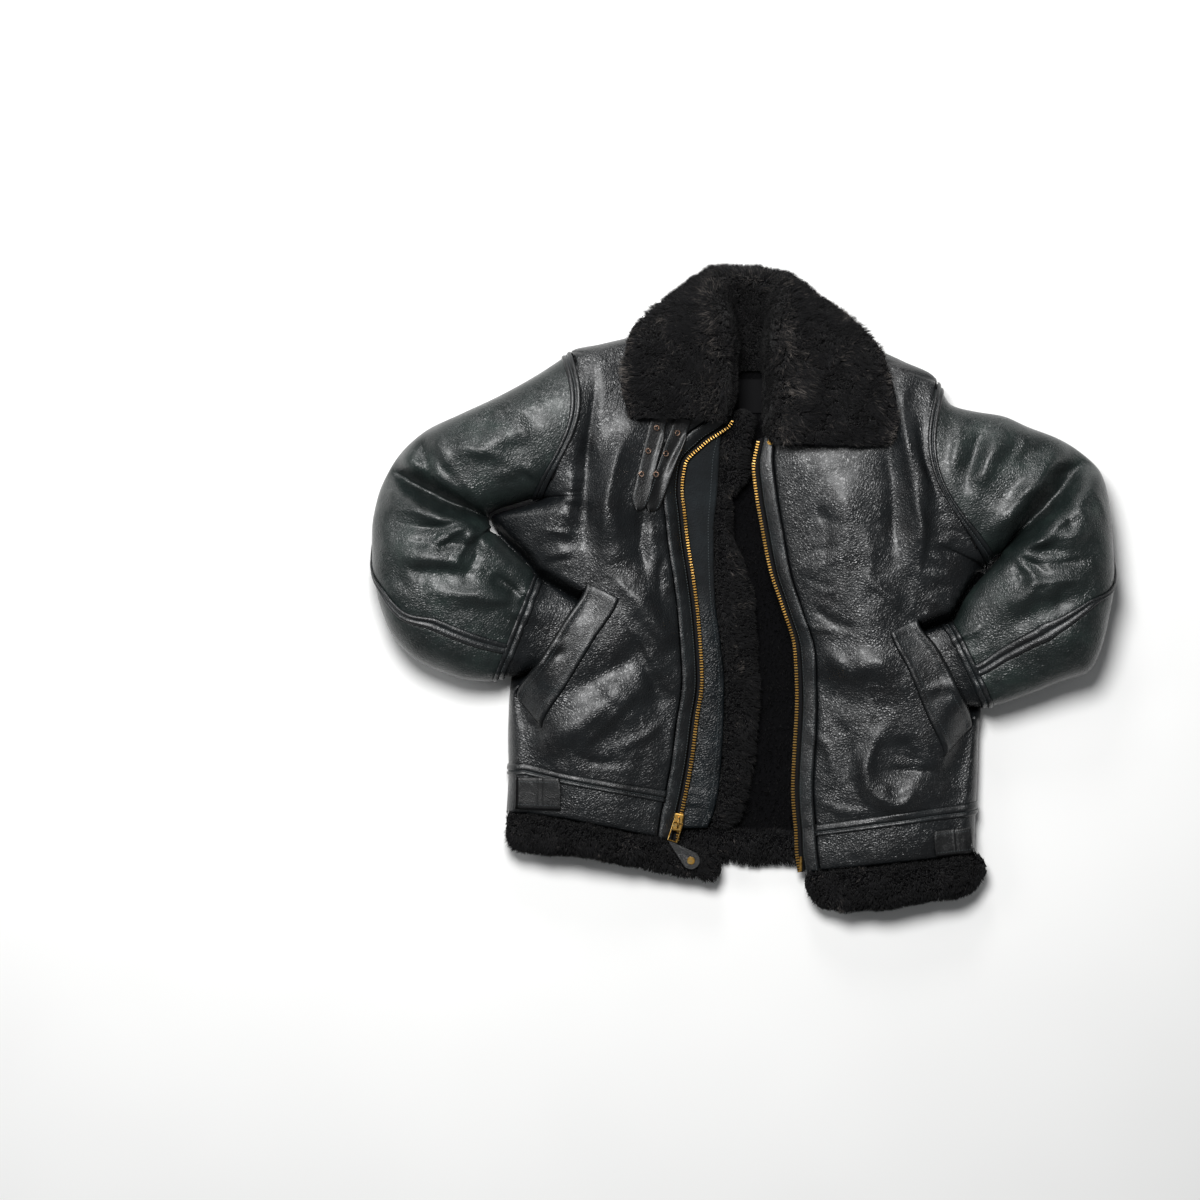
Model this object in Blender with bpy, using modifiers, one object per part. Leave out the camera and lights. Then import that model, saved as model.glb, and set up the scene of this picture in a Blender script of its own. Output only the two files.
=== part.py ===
"""A shearling flying jacket lying open on its back, with both cuffs tucked into the pockets.

Lengths are in millimetres in the tables and turned into metres when a mesh is made.
X runs across the jacket to the wearer's left, Y from hem to collar, Z up from the floor it lies on.
Right and left are the wearer's.
"""

import math

import bmesh
import bpy
import numpy as np
from mathutils import Vector
from mathutils.bvhtree import BVHTree

MM = 0.001
SEAM = 0.3
WALL = 6.0
BACK_WALL = 6.8
TAPE_LIFT = 0.35
TAPE_THICK = 1.5
WELT_THICK = 4.0
FACING = 19.0
ZIP_TAPE = 9.0
ZIP_THICK = 3.0
ROUND = 2.5
ZIP_DROP = 1.0
ROLL_RADIUS = 6.5
EYELET_RADIUS = 3.3
EYELET_WIRE = 0.9
SLIDER = (-86.5, -302.0, 28.0)
SLIDER_TURN = -10.0
SLIDER_WIDE = 13.0
SLIDER_LONG = 24.0
SLIDER_HIGH = 5.0
BAIL_REACH = 7.0
BAIL_HIGH = 6.4
BAIL_WIRE = 1.2
PULL_TURN = -18.0
PULL_WIDE = 12.0
PULL_LONG = 25.0
PULL_WIRE = 1.3
PULL_RISE = 4.0
TAB_END = (-70.0, -351.0)
TAB_ROOT = 10.0
TAB_RADIUS = 11.5
TAB_THICK = 2.2
RIVET_RADIUS = 5.2
RIVET_HIGH = 1.8
SNAP = (33.0, 194.0)
SNAP_RADIUS = 4.0
SNAP_HIGH = 2.0
LABEL_WIDE = 37.0
LABEL_LONG = 44.0
FLOOR_FLAT = 3.0
FOREARM_CLEAR = 10.0
FOREARM_RISE = 26.0
PRESSED = 15.5
ARMHOLE_GAP = 0.45
SHOULDER_GAP = 0.6
SLEEVE_GAP = 0.45

LEATHER = ("leather_green_black", (0.018, 0.026, 0.026, 1.0), 0.38, 0.0)
SLEEVE_LEATHER = ("leather_sleeve", (0.024, 0.038, 0.036, 1.0), 0.4, 0.0)
TAPE = ("leather_tape", (0.014, 0.018, 0.018, 1.0), 0.4, 0.0)
WOOL = ("wool_black", (0.010, 0.010, 0.011, 1.0), 0.95, 0.0)
STRAP = ("leather_strap", (0.012, 0.012, 0.012, 1.0), 0.5, 0.0)
BRASS = ("brass", (0.55, 0.38, 0.14, 1.0), 0.3, 1.0)
COPPER = ("eyelet_metal", (0.38, 0.22, 0.12, 1.0), 0.35, 1.0)
LABEL = ("label_black", (0.012, 0.012, 0.013, 1.0), 0.8, 0.0)

# One row for each level of a front, from the hem seam (-1) past the waist seam (0), the underarm (0.7)
# and the shoulder point (1) to the neck end of the shoulder seam (1.2).
# side: the side seam. mouth: the pocket mouth line and what carries it on. welt: the welt's inner edge.
# crown: greatest height between mouth and zip. zip: the front edge.
FRONT_COLUMNS = "level side_x side_y side_z mouth_x mouth_y mouth_z welt_x welt_y crown zip_x zip_y zip_z"
RIGHT_FRONT = [
    (-1.00, -311, -290, 14, -284, -290, 40, -235, -296, 50, -94, -326, 26),
    (-0.50, -309, -259, 14, -285, -259, 42, -238, -268, 54, -90, -298, 27),
    (0.00, -308, -230, 14, -287, -229, 42, -240, -240, 56, -84, -269, 28),
    (0.09, -309, -191, 9, -293, -182, 38, -258, -208, 60, -75, -220, 30),
    (0.17, -308, -152, 7.6, -298, -138, 34, -264, -178, 64, -69, -170, 32),
    (0.27, -303, -100, 7.6, -266, -88, 70, -231, -121, 70, -62, -116, 34),
    (0.37, -291, -48, 7.6, -235, -38, 70, -197, -65, 72, -66, -46, 36),
    (0.47, -278, 8, 9, -207, 12, 66, -164, -9, 73, -73, 14, 38),
    (0.58, -269, 62, 20, -209, 66, 70, -160, 45, 74, -81, 66, 38),
    (0.70, -263, 122, 22, -207, 125, 76, -160, 110, 76, -88, 129, 40),
    (0.80, -238, 177, 80, -194, 190, 78, -155, 180, 74, -84, 166, 42),
    (0.90, -212, 242, 82, -186, 255, 74, -150, 240, 68, -58, 195, 42),
    (1.00, -226, 311, 38, -190, 305, 66, -150, 285, 60, -22, 226, 42),
    (1.10, -185, 323, 32, -160, 318, 54, -120, 300, 56, -28, 262, 44),
    (1.20, -120, 338, 26, -104, 334, 37, -88, 325, 40, -60, 305, 38),
]
LEFT_FRONT = [
    (-1.00, 302, -343, 14, 280, -346, 40, 235, -350, 50, 79, -367, 26),
    (-0.50, 303, -312, 14, 281, -316, 42, 236, -320, 54, 75, -339, 27),
    (0.00, 304, -280, 14, 284, -283, 42, 238, -288, 56, 74, -313, 28),
    (0.09, 307, -233, 9, 290, -235, 38, 248, -250, 60, 70, -259, 30),
    (0.17, 308, -194, 7.6, 297, -177, 34, 258, -216, 64, 72, -209, 32),
    (0.27, 311, -150, 7.6, 277, -129, 70, 236, -165, 70, 75, -142, 34),
    (0.37, 313, -100, 7.6, 251, -77, 70, 211, -105, 73, 72, -77, 36),
    (0.47, 317, -46, 7.6, 224, -35, 66, 187, -53, 75, 57, -25, 38),
    (0.58, 318, -1, 7.6, 228, 17, 70, 183, 5, 76, 40, 27, 38),
    (0.70, 316, 30, 12, 240, 66, 74, 185, 75, 77, 30, 79, 40),
    (0.80, 276, 92, 78, 222, 134, 78, 180, 135, 76, 22, 125, 42),
    (0.90, 231, 199, 82, 204, 216, 74, 165, 205, 70, 18, 164, 42),
    (1.00, 251, 272, 38, 202, 285, 60, 160, 262, 60, 24, 200, 42),
    (1.10, 205, 301, 32, 175, 298, 52, 130, 285, 56, 30, 250, 44),
    (1.20, 150, 325, 26, 130, 322, 37, 105, 312, 40, 70, 300, 38),
]
SLIT = {"right": (0.17, 0.47), "left": (0.17, 0.47)}
ARMHOLE = (0.7, 1.0)
ARMHOLE_SHARES = (0.0, 0.05, 0.15, 0.28, 0.42, 0.56, 0.70, 0.83, 0.94, 1.0)
FRONT_LEVELS = ((-1.0, -0.55, -0.12, 0.0, 0.015, 0.09, 0.17, 0.2, 0.235, 0.27, 0.32, 0.37, 0.41, 0.44, 0.47,
                 0.51, 0.545, 0.58, 0.64) + tuple(0.7 + 0.3 * share for share in ARMHOLE_SHARES)
                + (1.07, 1.14, 1.2))

# One row for each upright section through a sleeve, from the armhole round the elbow to the cuff's end.
# in: the point on the inside of the bend. out: the point on the outside. low and high: the heights of the
# section. bow: how far the section bends towards the body. seam: where the back seam lies, in degrees round it.
SLEEVE_COLUMNS = "section in_x in_y in_z out_x out_y low high bow seam"
RIGHT_SLEEVE = [
    (0, -263, 122, 22, -226, 311, 0, 84, 27, 205),
    (1, -280, 120, 24, -273, 286, 0, 90, 14, 205),
    (2, -299, 114, 26, -318, 266, 0, 92, 5, 205),
    (3, -318, 108, 28, -368, 243, 0, 93, 0, 205),
    (4, -332, 101, 30, -410, 217, 0, 92, 0, 205),
    (5, -338, 98, 30, -442, 188, 0, 84, 0, 205),
    (6, -341, 95, 32, -464, 157, 0, 62, 0, 205),
    (7, -342, 92, 40, -478, 122, 0, 88, 0, 205),
    (8, -342, 90, 46, -485, 79, 0, 100, 0, 200),
    (9, -341, 87, 48, -485, 38, 0, 104, 0, 182),
    (10, -338, 84, 50, -478, -5, 0, 105, 0, 150),
    (11, -332, 79, 50, -462, -51, 0, 104, 0, 130),
    (12, -321, 72, 48, -433, -86, 0, 100, 0, 112),
    (13, -307, 58, 46, -396, -105, 3, 96, 0, 109),
    (14, -291, 43, 44, -360, -116, 9, 88, 0, 108),
    (15, -278, 29, 42, -335, -118, 15, 80, 0, 108),
    (16, -268, 14, 41, -320, -114, 17, 73, 0, 108),
    (17, -246, 4, 40, -298, -110, 17, 63, 0, 108),
    (18, -225, -8, 38, -276, -103, 17, 58, 0, 108),
    (19, -202, -21, 37, -251, -109, 17, 56, 0, 108),
]
LEFT_SLEEVE = [
    (0, 316, 30, 12, 251, 272, 0, 84, 40, 205),
    (1, 318, 34, 16, 270, 242, 0, 88, 30, 205),
    (2, 321, 38, 18, 299, 234, 0, 90, 18, 205),
    (3, 325, 42, 20, 335, 228, 0, 92, 8, 205),
    (4, 329, 46, 22, 370, 213, 0, 92, 0, 205),
    (5, 332, 48, 24, 407, 199, 0, 88, 0, 205),
    (6, 334, 51, 28, 439, 181, 0, 64, 0, 205),
    (7, 335, 52, 36, 464, 153, 0, 88, 0, 205),
    (8, 335, 51, 44, 474, 112, 0, 100, 0, 203),
    (9, 334, 48, 48, 478, 64, 0, 104, 0, 195),
    (10, 332, 44, 50, 480, 14, 0, 106, 0, 172),
    (11, 326, 38, 50, 474, -27, 2, 105, 0, 130),
    (12, 318, 29, 50, 464, -70, 8, 102, 0, 108),
    (13, 308, 18, 48, 446, -105, 14, 98, 0, 102),
    (14, 298, 6, 46, 412, -117, 17, 92, 0, 98),
    (15, 287, -9, 44, 370, -134, 17, 84, 0, 93),
    (16, 268, -43, 41, 318, -150, 17, 74, 0, 90),
    (17, 247, -48, 40, 296, -150, 17, 62, 0, 89),
    (18, 208, -64, 37, 256, -152, 17, 56, 0, 88),
]
CUFF_SECTION = 16
SLEEVE_STEPS = (0, 0.4, 1, 1.6, 2.3, 3, 4, 4.6, 5.2, 5.7, 6, 6.35, 6.8, 7.4, 8, 9, 10, 11, 12, 13, 14, 15, 15.7,
                16, 16.25, 17)

# One row for each section through the collar, from the right throat round the neck to the left throat.
# neck: where it is sewn on. roll: the edge of the roll that shows from above. leaf: the outer edge.
COLLAR_COLUMNS = "section neck_x neck_y neck_z roll_x roll_y roll_z leaf_x leaf_y leaf_z"
COLLAR = [
    (0, -18, 226, 49.5, -24, 221, 96, -150, 224, 97),
    (1, -10, 246, 46, -18, 250, 102, -158, 256, 96),
    (2, -6, 264, 40, -16, 285, 104, -157, 298, 92),
    (3, -5, 274, 34, -16, 313, 104, -147, 336, 80),
    (4, -4, 280, 28, -18, 345, 100, -120, 361, 64),
    (5, -2, 284, 22, -22, 370, 92, -88, 384, 50),
    (6, 1, 286, 17, -24, 388, 78, -58, 405, 40),
    (7, 5, 286, 13, -14, 398, 60, -32, 413, 36),
    (8, 9, 286, 12, 8, 396, 50, 8, 412, 34),
    (9, 13, 286, 13, 28, 392, 58, 46, 407, 36),
    (10, 16, 286, 17, 34, 382, 76, 72, 397, 40),
    (11, 19, 284, 22, 33, 361, 92, 98, 378, 50),
    (12, 20, 282, 28, 31, 333, 100, 136, 350, 62),
    (13, 20, 276, 34, 30, 300, 104, 170, 317, 78),
    (14, 20, 268, 40, 30, 268, 104, 186, 279, 92),
    (15, 20, 248, 46, 27, 235, 102, 194, 236, 97),
    (16, 20, 225, 50, 26, 210, 98, 193, 204, 98),
    (17, 23, 205, 51.5, 30, 193, 95, 180, 187, 97),
]
# How far the back's rows dip at the neck, by level.
NECK_DIP = ((0.8, 0), (0.9, 5), (1.0, 32), (1.07, 39), (1.14, 44), (1.2, 51))
NECK_WIDTH = 62.0
COLLAR_WOOL = 13.0
COLLAR_LEATHER = 2.0
COLLAR_SEAT = 4.2

# Folds: the points of each crest or trough, then its height and its half width.
RIGHT_BODY_FOLDS = [
    ([(-148, 213), (-165, 179), (-177, 143), (-182, 104), (-179, 65)], 9, 17),
    ([(-202, 209), (-208, 144), (-211, 66)], -7, 14),
    ([(-218, 155), (-230, 109), (-238, 62)], 6, 12),
    ([(-140, -10), (-118, -40), (-92, -82)], 7, 16),
    ([(-136, -64), (-124, -142)], -6, 16),
    ([(-143, -130), (-177, -173), (-218, -207)], 8, 18),
]
LEFT_BODY_FOLDS = [
    ([(200, 250), (212, 187), (224, 134), (224, 79), (214, 32)], 9, 15),
    ([(182, 196), (192, 118), (191, 40)], -6, 15),
    ([(110, 150), (130, 90), (120, 20)], 6, 30),
    ([(240, -262), (198, -276), (168, -260), (158, -240), (170, -200)], 8, 15),
    ([(222, -225), (200, -222)], -7, 15),
    ([(98, -129), (150, -116), (190, -125)], 7, 17),
]
RIGHT_SLEEVE_FOLDS = [
    ([(-422, 200), (-420, 135)], -6, 10),
    ([(-390, 190), (-350, 185), (-300, 200)], 7, 16),
    ([(-334, 16), (-309, 4), (-289, -10)], -9, 10),
    ([(-387, -8), (-334, -6), (-300, -8)], 7, 12),
    ([(-460, 60), (-420, 50), (-370, 45)], 6, 16),
    ([(-440, 28), (-400, 24), (-360, 22)], -5, 12),
]
LEFT_SLEEVE_FOLDS = [
    ([(304, 215), (298, 187), (284, 140)], -7, 10),
    ([(335, 205), (312, 172), (296, 129)], 7, 12),
    ([(345, 165), (370, 180), (400, 188)], -6, 11),
    ([(447, 120), (428, 79), (396, 48)], 7, 14),
    ([(412, 17), (367, -1), (330, -20)], 7, 14),
    ([(430, -5), (380, -28), (335, -48)], -6, 12),
]

# Where each hem's worn wool ends, by its place across the jacket.
HEM_COLUMNS = "x bottom_y"
RIGHT_HEM = [
    (-312, -325),
    (-300, -337),
    (-265, -342),
    (-225, -345),
    (-186, -350),
    (-150, -359),
    (-112, -366),
    (-80, -372),
    (-50, -376),
    (-26, -374),
]
LEFT_HEM = [
    (83, -394),
    (96, -412),
    (130, -417),
    (170, -415),
    (215, -408),
    (260, -401),
    (295, -393),
    (310, -382),
]
BACK_HEM = [
    (-300, -322),
    (-240, -345),
    (-150, -353),
    (-50, -357),
    (20, -358),
    (100, -364),
    (200, -376),
    (290, -375),
]

# The wind flap: leather from under the zip to the edge column, then wool to the rim column.
FLAP_COLUMNS = "y edge_x rim_x edge_z"
FLAP = [
    (190, -32, 8, 33),
    (150, -34, 6, 30),
    (122, -36, -16, 29),
    (82, -40, -17, 28),
    (38, -40, -2, 27),
    (-12, -38, 12, 26),
    (-66, -31, 16, 25),
    (-120, -26, 19, 24),
    (-170, -27, 17, 23),
    (-210, -29, 14, 22),
    (-250, -32, 6, 21),
    (-290, -40, -4, 21),
    (-310, -48, -12, 21),
]
STRAPS = {
    "collar_strap_upper": ((-111, 226), (-140, 104), [(-115, 211), (-126, 181), (-135, 151)]),
    "collar_strap_lower": ((-80, 224), (-124, 102), [(-88, 205), (-103, 178), (-116, 151)]),
}
STRAP_WIDTH = 22.0
TABS = {
    "right": ((-298, -263), (-240, -264), 42),
    "left": ((247, -329), (296, -324), 34),
}


def columns(names, table):
    """The table as one array for each named column."""
    return dict(zip(names.split(), np.array(table, float).T))


def smooth(keys, values, at):
    """A monotone cubic through the rows of a table, read at other places along it."""
    keys = np.asarray(keys, float)
    values = np.asarray(values, float)
    at = np.asarray(at, float)
    steps = np.diff(keys)
    slopes = np.diff(values) / steps
    rates = np.zeros(len(keys))
    rates[0], rates[-1] = slopes[0], slopes[-1]
    product = slopes[:-1] * slopes[1:]
    total = np.where(product > 0, slopes[:-1] + slopes[1:], 1.0)
    rates[1:-1] = np.where(product > 0, 2 * product / total, 0.0)
    place = np.clip(np.searchsorted(keys, at, side="right") - 1, 0, len(steps) - 1)
    t = (at - keys[place]) / steps[place]
    a, b = values[place], values[place + 1]
    da, db = rates[place] * steps[place], rates[place + 1] * steps[place]
    return a + da * t + (3 * (b - a) - 2 * da - db) * t**2 + (2 * (a - b) + da + db) * t**3


def read(names, table, at):
    """Every column of a table, read smoothly at the given places of its first column."""
    held = columns(names, table)
    first = names.split()[0]
    return {name: smooth(held[first], held[name], at) for name in names.split()[1:]}


def unit(vectors):
    return vectors / np.maximum(np.linalg.norm(vectors, axis=-1, keepdims=True), 1e-9)


def signed_power(value, power):
    return np.sign(value) * np.abs(value) ** power


def ease(value):
    value = np.clip(value, 0.0, 1.0)
    return value * value * (3 - 2 * value)


def fold_height(points, folds):
    """The height that the folds add at each point, seen from above."""
    total = np.zeros(points.shape[:-1])
    for line, height, half_width in folds:
        nearest = np.full(points.shape[:-1], 1e9)
        for start, end in zip(line[:-1], line[1:]):
            start, end = np.array(start, float), np.array(end, float)
            along = end - start
            t = ((points[..., :2] - start) @ along) / (along @ along)
            foot = start + np.clip(t, 0, 1)[..., None] * along
            nearest = np.minimum(nearest, np.linalg.norm(points[..., :2] - foot, axis=-1))
        total += height * np.exp(-((nearest / half_width) ** 2))
    return total


def grid_normals(points):
    """Outward normals of a grid whose rows run up the jacket and whose columns run to the wearer's left."""
    across = np.gradient(points, axis=1)
    along = np.gradient(points, axis=0)
    return unit(np.cross(across, along))


def inset(points, sides, gap=SEAM / 2):
    """Draws the named sides of a grid in along the surface by half the seam's gap."""
    points = points.copy()
    if "first_row" in sides:
        points[0] += unit(points[1] - points[0]) * gap
    if "last_row" in sides:
        points[-1] += unit(points[-2] - points[-1]) * gap
    if "first_column" in sides:
        points[:, 0] += unit(points[:, 1] - points[:, 0]) * gap
    if "last_column" in sides:
        points[:, -1] += unit(points[:, -2] - points[:, -1]) * gap
    return points


def grid_faces(rows, count, closed=False, skipped=None):
    """Quads of a grid, as point numbers. A closed grid joins its last column to its first."""
    faces = []
    for i in range(rows - 1):
        for j in range(count if closed else count - 1):
            if j == skipped:
                continue
            k = (j + 1) % count
            faces.append((i * count + j, i * count + k, (i + 1) * count + k, (i + 1) * count + j))
    return faces


def new_object(name, mesh, look):
    label, colour, roughness, metallic = look
    material = bpy.data.materials.get(label) or bpy.data.materials.new(label)
    material.use_nodes = True
    shader = material.node_tree.nodes["Principled BSDF"]
    shader.inputs["Base Color"].default_value = colour
    shader.inputs["Roughness"].default_value = roughness
    shader.inputs["Metallic"].default_value = metallic
    mesh.materials.append(material)
    obj = bpy.data.objects.new(name, mesh)
    jacket.objects.link(obj)
    return obj


def wall(name, outer, inner, faces, look):
    """A closed wall between an outer and an inner sheet that share their numbering."""
    outer, inner = outer.reshape(-1, 3), inner.reshape(-1, 3)
    bm = bmesh.new()
    used = sorted({index for face in faces for index in face})
    over = {index: bm.verts.new(outer[index] * MM) for index in used}
    under = {index: bm.verts.new(inner[index] * MM) for index in used}
    edges = {(face[i], face[(i + 1) % 4]) for face in faces for i in range(4)}
    for face in faces:
        bm.faces.new([over[index] for index in face])
        bm.faces.new([under[index] for index in (face[0], face[3], face[2], face[1])])
    for a, b in edges:
        if (b, a) not in edges:
            bm.faces.new([over[b], over[a], under[a], under[b]])
    bmesh.ops.recalc_face_normals(bm, faces=bm.faces)
    mesh = bpy.data.meshes.new(name)
    bm.to_mesh(mesh)
    bm.free()
    mesh.shade_smooth()
    return new_object(name, mesh, look)


def plate(name, points, normals, low, high, look, sides=()):
    """A wall on part of a grid, from low to high along its normals."""
    points = inset(points, sides)
    rows, count = points.shape[:2]
    return wall(name, points + normals * high, points + normals * low, grid_faces(rows, count), look)


def loft(name, rings, look):
    """A solid through closed rings of equal length, flat at both ends."""
    bm = bmesh.new()
    loops = [[bm.verts.new(point * MM) for point in ring] for ring in rings]
    for first, second in zip(loops[:-1], loops[1:]):
        for j in range(len(first)):
            k = (j + 1) % len(first)
            bm.faces.new((first[j], first[k], second[k], second[j]))
    bm.faces.new(loops[0])
    bm.faces.new(loops[-1])
    bmesh.ops.recalc_face_normals(bm, faces=bm.faces)
    mesh = bpy.data.meshes.new(name)
    bm.to_mesh(mesh)
    bm.free()
    mesh.shade_smooth()
    return new_object(name, mesh, look)


def ring(place, angles):
    """Points of one upright section and their outward normals in its plane."""
    start = np.array((place["in_x"], place["in_y"]))
    end = np.array((place["out_x"], place["out_y"]))
    angles = np.radians(angles)
    across = signed_power(np.cos(angles), 2 / ROUND)
    w = 0.5 - 0.5 * across
    lift = signed_power(np.sin(angles), 2 / ROUND)
    chord = end - start
    side = np.array((-chord[1], chord[0])) / np.linalg.norm(chord)
    towards_body = side if side[0] * start[0] < 0 else -side
    bow = place["bow"] * np.sin(math.pi * w**1.3)
    plan = start + w[:, None] * chord + bow[:, None] * towards_body
    out_z = place["low"] + 0.42 * (place["high"] - place["low"])
    middle = place["in_z"] + (out_z - place["in_z"]) * w
    top = middle + (place["high"] - middle) * lift
    bottom = middle + (middle - place["low"] + FLOOR_FLAT) * lift
    z = np.where(lift >= 0, top, np.maximum(bottom, place["low"]))
    points = np.column_stack((plan, z))
    centre = np.append(start + 0.5 * chord, place["low"] + 0.5 * (place["high"] - place["low"]))
    whole = len(points) > 3 and np.linalg.norm(points[0] - points[-1]) < 1e-6
    distinct = points[:-1] if whole else points
    tangent = np.roll(distinct, -1, axis=0) - np.roll(distinct, 1, axis=0)
    if whole:
        tangent = np.concatenate((tangent, tangent[:1]))
    direction = unit(chord)
    along, rise = tangent[:, :2] @ direction, tangent[:, 2]
    normals = np.column_stack((direction[0] * rise, direction[1] * rise, -along))
    normals = unit(normals)
    outward = np.sign(np.sum(normals * (points - centre), axis=1))
    normals *= np.where(outward == 0, 1, outward)[:, None]
    return points, normals


def angle_at(share):
    """The angle at which the top of a section lies over this share of the way from its inside to its outside."""
    return np.degrees(np.arccos(signed_power(np.clip(1 - 2 * np.asarray(share), -1, 1), ROUND / 2)))


def ring_angles(seam):
    """Angles round a sleeve: the top sleeve's, up to the back seam, then the under sleeve's.

    At the armhole they match the shares at which the fronts and the back have their points.
    """
    over = np.concatenate(([INNER_SEAM], angle_at(ARMHOLE_SHARES), [BACK_SEAM - 5]))
    beneath = np.concatenate((360 - angle_at(ARMHOLE_SHARES[-2:0:-1]), [360 + INNER_SEAM]))
    over = INNER_SEAM + (over - INNER_SEAM) * (seam - 5 - INNER_SEAM) / (BACK_SEAM - 5 - INNER_SEAM)
    first = seam + beneath[0] - BACK_SEAM
    beneath = first + (beneath - beneath[0]) * (360 + INNER_SEAM - first) / (360 + INNER_SEAM - beneath[0])
    return np.concatenate((over, [seam], beneath))


INNER_SEAM = -22.0
BACK_SEAM = 205.0
TOP_COLUMNS = slice(0, 13)
UNDER_COLUMNS = slice(12, 22)
SEAM_COLUMNS = slice(11, 14)


def sleeve_grid(table, steps, folds):
    """Points and normals of a sleeve, a row for each section."""
    held = read(SLEEVE_COLUMNS, table, steps)
    points, normals = [], []
    for i in range(len(steps)):
        place = {name: values[i] for name, values in held.items()}
        row, row_normals = ring(place, ring_angles(place["seam"]))
        points.append(row)
        normals.append(row_normals)
    points, normals = np.array(points), np.array(normals)
    raised = fold_height(points, folds) * np.clip(normals[..., 2], 0, 1)
    fade = ease(np.asarray(steps, float)[:, None] / 1.5)
    points[..., 2] += raised * fade
    return points, normals


def across_line(points, line_x, line_y, above):
    """How far points lie past a line, positive beyond it."""
    order = np.argsort(line_x)
    line_x, line_y = np.asarray(line_x)[order], np.asarray(line_y)[order]
    level = np.interp(points[..., 0], line_x, line_y)
    return (points[..., 1] - level) * (1 if above else -1) * 0.85


def front_grid(table, sleeve, folds, slit, zip_side):
    """A front: outboard columns from the side seam to the pocket mouth, then inboard ones to the zip.

    The mouth has two columns, which part where the pocket is open.
    """
    levels = np.array(FRONT_LEVELS)
    held = read(FRONT_COLUMNS, table, levels)
    arm = columns(SLEEVE_COLUMNS, sleeve)
    side = np.column_stack((held["side_x"], held["side_y"], held["side_z"]))
    split = held["side_z"].copy()
    armhole = (levels >= ARMHOLE[0] - 1e-9) & (levels <= ARMHOLE[1] + 1e-9)
    zero = {name: values[0] for name, values in arm.items()}
    armhole_side = {}
    for i, angle in zip(np.flatnonzero(armhole), angle_at(ARMHOLE_SHARES)):
        near, directions = ring(zero, np.array((angle - 2, angle, angle + 2)))
        side[i] = near[1]
        if len(armhole_side) or i > np.flatnonzero(armhole)[0]:
            armhole_side[i] = directions[1]
    low_in, low_out = side[armhole][0, 2], side[armhole][-1, 2]
    split[armhole] = low_in + (low_out - low_in) * np.array(ARMHOLE_SHARES)
    mouth = np.column_stack((held["mouth_x"], held["mouth_y"]))
    welt = np.column_stack((held["welt_x"], held["welt_y"]))
    edge = np.column_stack((held["zip_x"], held["zip_y"]))
    seam = edge + unit(welt - edge) * FACING
    turn = np.radians(np.linspace(0, 90, 6))
    outboard = side[:, None, :2] + (1 - np.cos(turn))[None, :, None] * (mouth - side[:, :2])[:, None]
    outboard_z = side[:, 2:] + np.sin(turn)[None] * (held["mouth_z"][:, None] - side[:, 2:])
    beyond = arm["section"] >= 12
    above = across_line(outboard, arm["in_x"][beyond], arm["in_y"][beyond], True)
    below = across_line(outboard, arm["out_x"][beyond], arm["out_y"][beyond], False)
    clear = ease((np.maximum(above, below) - FOREARM_CLEAR) / FOREARM_RISE)
    clear = np.where(levels[:, None] >= ARMHOLE[0], 1.0, clear)
    pressed = np.minimum(outboard_z, PRESSED)
    outboard_z = pressed + (outboard_z - pressed) * clear
    stations = [mouth + (welt - mouth) * t for t in (0, 0.5, 1)]
    stations += [welt + (seam - welt) * t for t in (0.17, 0.34, 0.51, 0.67, 0.84, 1)]
    stations += [edge]
    inboard = np.stack(stations, axis=1)
    share = np.linalg.norm(inboard - mouth[:, None], axis=-1) / np.linalg.norm(edge - mouth, axis=-1)[:, None]
    share = np.clip(share, 0, 1)
    rise = held["mouth_z"][:, None] + (held["crown"] - held["mouth_z"])[:, None] * ease(share / 0.35)
    fall = (held["crown"] - held["zip_z"])[:, None] * np.clip((share - 0.35) / 0.65, 0, 1) ** 1.9
    inboard_z = rise - fall
    open_rows = (levels > slit[0] + 0.001) & (levels < slit[1] - 0.001)
    outboard_z[~open_rows, -1] = inboard_z[~open_rows, 0]
    points = np.concatenate((np.dstack((outboard, outboard_z)), np.dstack((inboard, inboard_z))), axis=1)
    fade = np.concatenate((ease((1 - np.cos(turn)) * 1.5), np.ones(inboard.shape[1])))
    fade[-1] = 0.3
    points[..., 2] += fold_height(points, folds) * fade[None]
    count = outboard.shape[1]
    normals = np.concatenate((grid_normals(points[:, :count]), grid_normals(points[:, count:])), axis=1)
    normals *= zip_side
    joined = unit(normals[:, count - 1] + normals[:, count])
    normals[~open_rows, count - 1] = joined[~open_rows]
    normals[~open_rows, count] = joined[~open_rows]
    normals[0] = unit(normals[0] * (1, 0, 1))
    normals[:, 0] = unit(normals[:, 0] * (1, 1, 0))
    for i, normal in armhole_side.items():
        normals[i, 0] = normal
    return points, normals, open_rows, split


def rows_between(low, high):
    levels = np.array(FRONT_LEVELS)
    found = np.flatnonzero((levels >= low - 1e-6) & (levels <= high + 1e-6))
    return slice(found[0], found[-1] + 1)


EVERY_SIDE = ("first_row", "last_row", "first_column", "last_column")
MOUTH_COLUMN = 6


def draw_in_armhole(points, rows):
    """Draws a front's or the back's edge in from the sleeve all along the armhole."""
    levels = np.array(FRONT_LEVELS)[rows]
    held = (levels >= ARMHOLE[0] - 1e-9) & (levels <= ARMHOLE[1] + 1e-9)
    share = (levels[held] - ARMHOLE[0]) / (ARMHOLE[1] - ARMHOLE[0])
    extra = ARMHOLE_GAP - SEAM / 2 + SHOULDER_GAP * ease((share - 0.8) / 0.15)
    for at, beside in ((0, 1), (-1, -2)):
        towards = unit((points[:, beside] - points[:, at]) * (1, 1, 0))
        points[held, at] += towards[held] * extra[:, None]
    return points


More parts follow.
